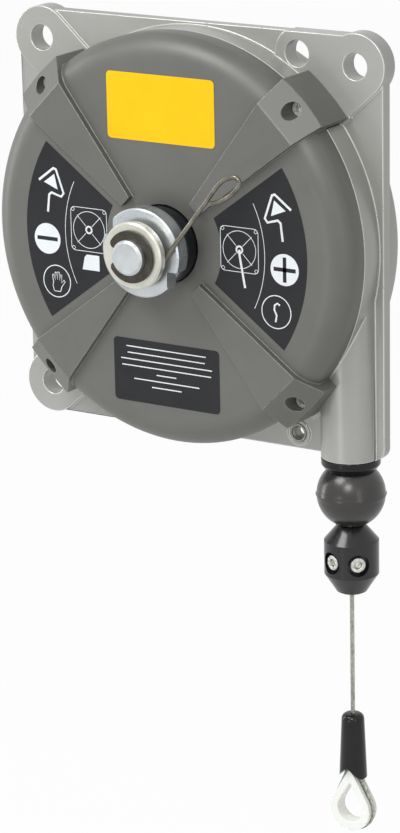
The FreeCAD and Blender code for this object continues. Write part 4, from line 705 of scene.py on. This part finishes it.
buffer_rubber = finish_of("buffer_rubber", (0.016, 0.0145, 0.0138), (0.028, 0.025, 0.023), (0.22, 0.32),
                          cloud=60, grain=1400, relief=0.12, Specular_IOR_Level=0.65)
ball_low, ball_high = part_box("stop_ball")
ball_middle = (ball_low + ball_high) / 2
seam_radius = (ball_high.x - ball_low.x) / 2
ball_radius = (ball_high.z - ball_low.z) / 2
hole_radius = 0.0018
hole_end = ball_radius * 0.9
pole = 85.5
rounds = 44
seam_half_width = 0.0009
seam_top_half_width = 0.0003
seam_fall = 0.00012
profile = [(hole_radius, -hole_end)]
for i in range(rounds + 1):
    angle = math.radians(-pole + 2 * pole * i / rounds)
    r = ball_radius * math.cos(angle)
    z = ball_radius * math.sin(angle)
    if abs(z) < seam_half_width:
        r = seam_radius - seam_fall * (abs(z) > seam_top_half_width)
    profile.append((r, z))
profile.append((hole_radius, hole_end))
bm = bmesh.new()
chain = [bm.verts.new((r, 0, z)) for r, z in profile]
edges = [bm.edges.new(pair) for pair in zip(chain, chain[1:])]
bmesh.ops.spin(bm, geom=chain + edges, cent=(0, 0, 0), axis=(0, 0, 1), steps=96, angle=2 * math.pi,
               use_merge=True)
bmesh.ops.remove_doubles(bm, verts=bm.verts, dist=merge_gap)
bmesh.ops.recalc_face_normals(bm, faces=bm.faces)
bmesh.ops.translate(bm, verts=bm.verts, vec=ball_middle)
for face in bm.faces:
    face.smooth = True
ball_mesh = bpy.data.meshes.new("buffer_ball")
bm.to_mesh(ball_mesh)
bm.free()
ball = new_piece("buffer_ball", ball_mesh, "stop", buffer_rubber)
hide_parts("stop_ball")

clamp_black = finish_of("clamp_black", (0.006, 0.006, 0.0064), (0.011, 0.011, 0.0115), (0.17, 0.28), cloud=70,
                        relief=0.08, Specular_IOR_Level=0.5)
softened("stop_clamp", "rope_clamp", "stop", clamp_black, 0.0006, 3)
turned_brass = finish_of("turned_brass", (0.5, 0.36, 0.14), (0.62, 0.46, 0.2), (0.25, 0.4), metallic=0.95)
softened("clamp_core", "brass_sleeve", "stop", turned_brass, 0.0002)
rough_zinc = finish_of("rough_zinc", (0.30, 0.30, 0.28), (0.85, 0.85, 0.80), (0.22, 0.5), metallic=0.85,
                       cloud=500, grain=1200, relief=0.6, depth=0.0006)
softened("clamp_screws", "clamp_bolts", "stop", rough_zinc, 0.0005)

# ---- Thimble, ferrule and sleeve ---------------------------------------------------------------
# Ivory plastic thimble in the rope's eye, an aluminium ferrule pressed on both strands and a black
# rubber sleeve pulled over it, with a mouth cut to the thimble's shoulders.
ivory = finish_of("ivory_moulding", (0.93, 0.93, 0.86), (0.97, 0.97, 0.92), (0.3, 0.4), cloud=50,
                  relief=0.05, Subsurface_Weight=0.1)
softened("thimble", "rope_thimble", "load_end", ivory, 0.0009, 3)
pressed_alloy = finish_of("pressed_alloy", (0.5, 0.5, 0.5), (0.62, 0.62, 0.62), (0.3, 0.45),
                          metallic=0.9)
softened("ferrule", "pressed_ferrule", "load_end", pressed_alloy, 0.0004)
sleeve_rubber = finish_of("sleeve_rubber", (0.005, 0.0054, 0.0056), (0.010, 0.0106, 0.011), (0.1, 0.16),
                          cloud=70, Specular_IOR_Level=0.32)
softened("rope_sleeve", "rubber_sleeve", "load_end", sleeve_rubber, 0.0006, 3)

bpy.context.view_layer.update()
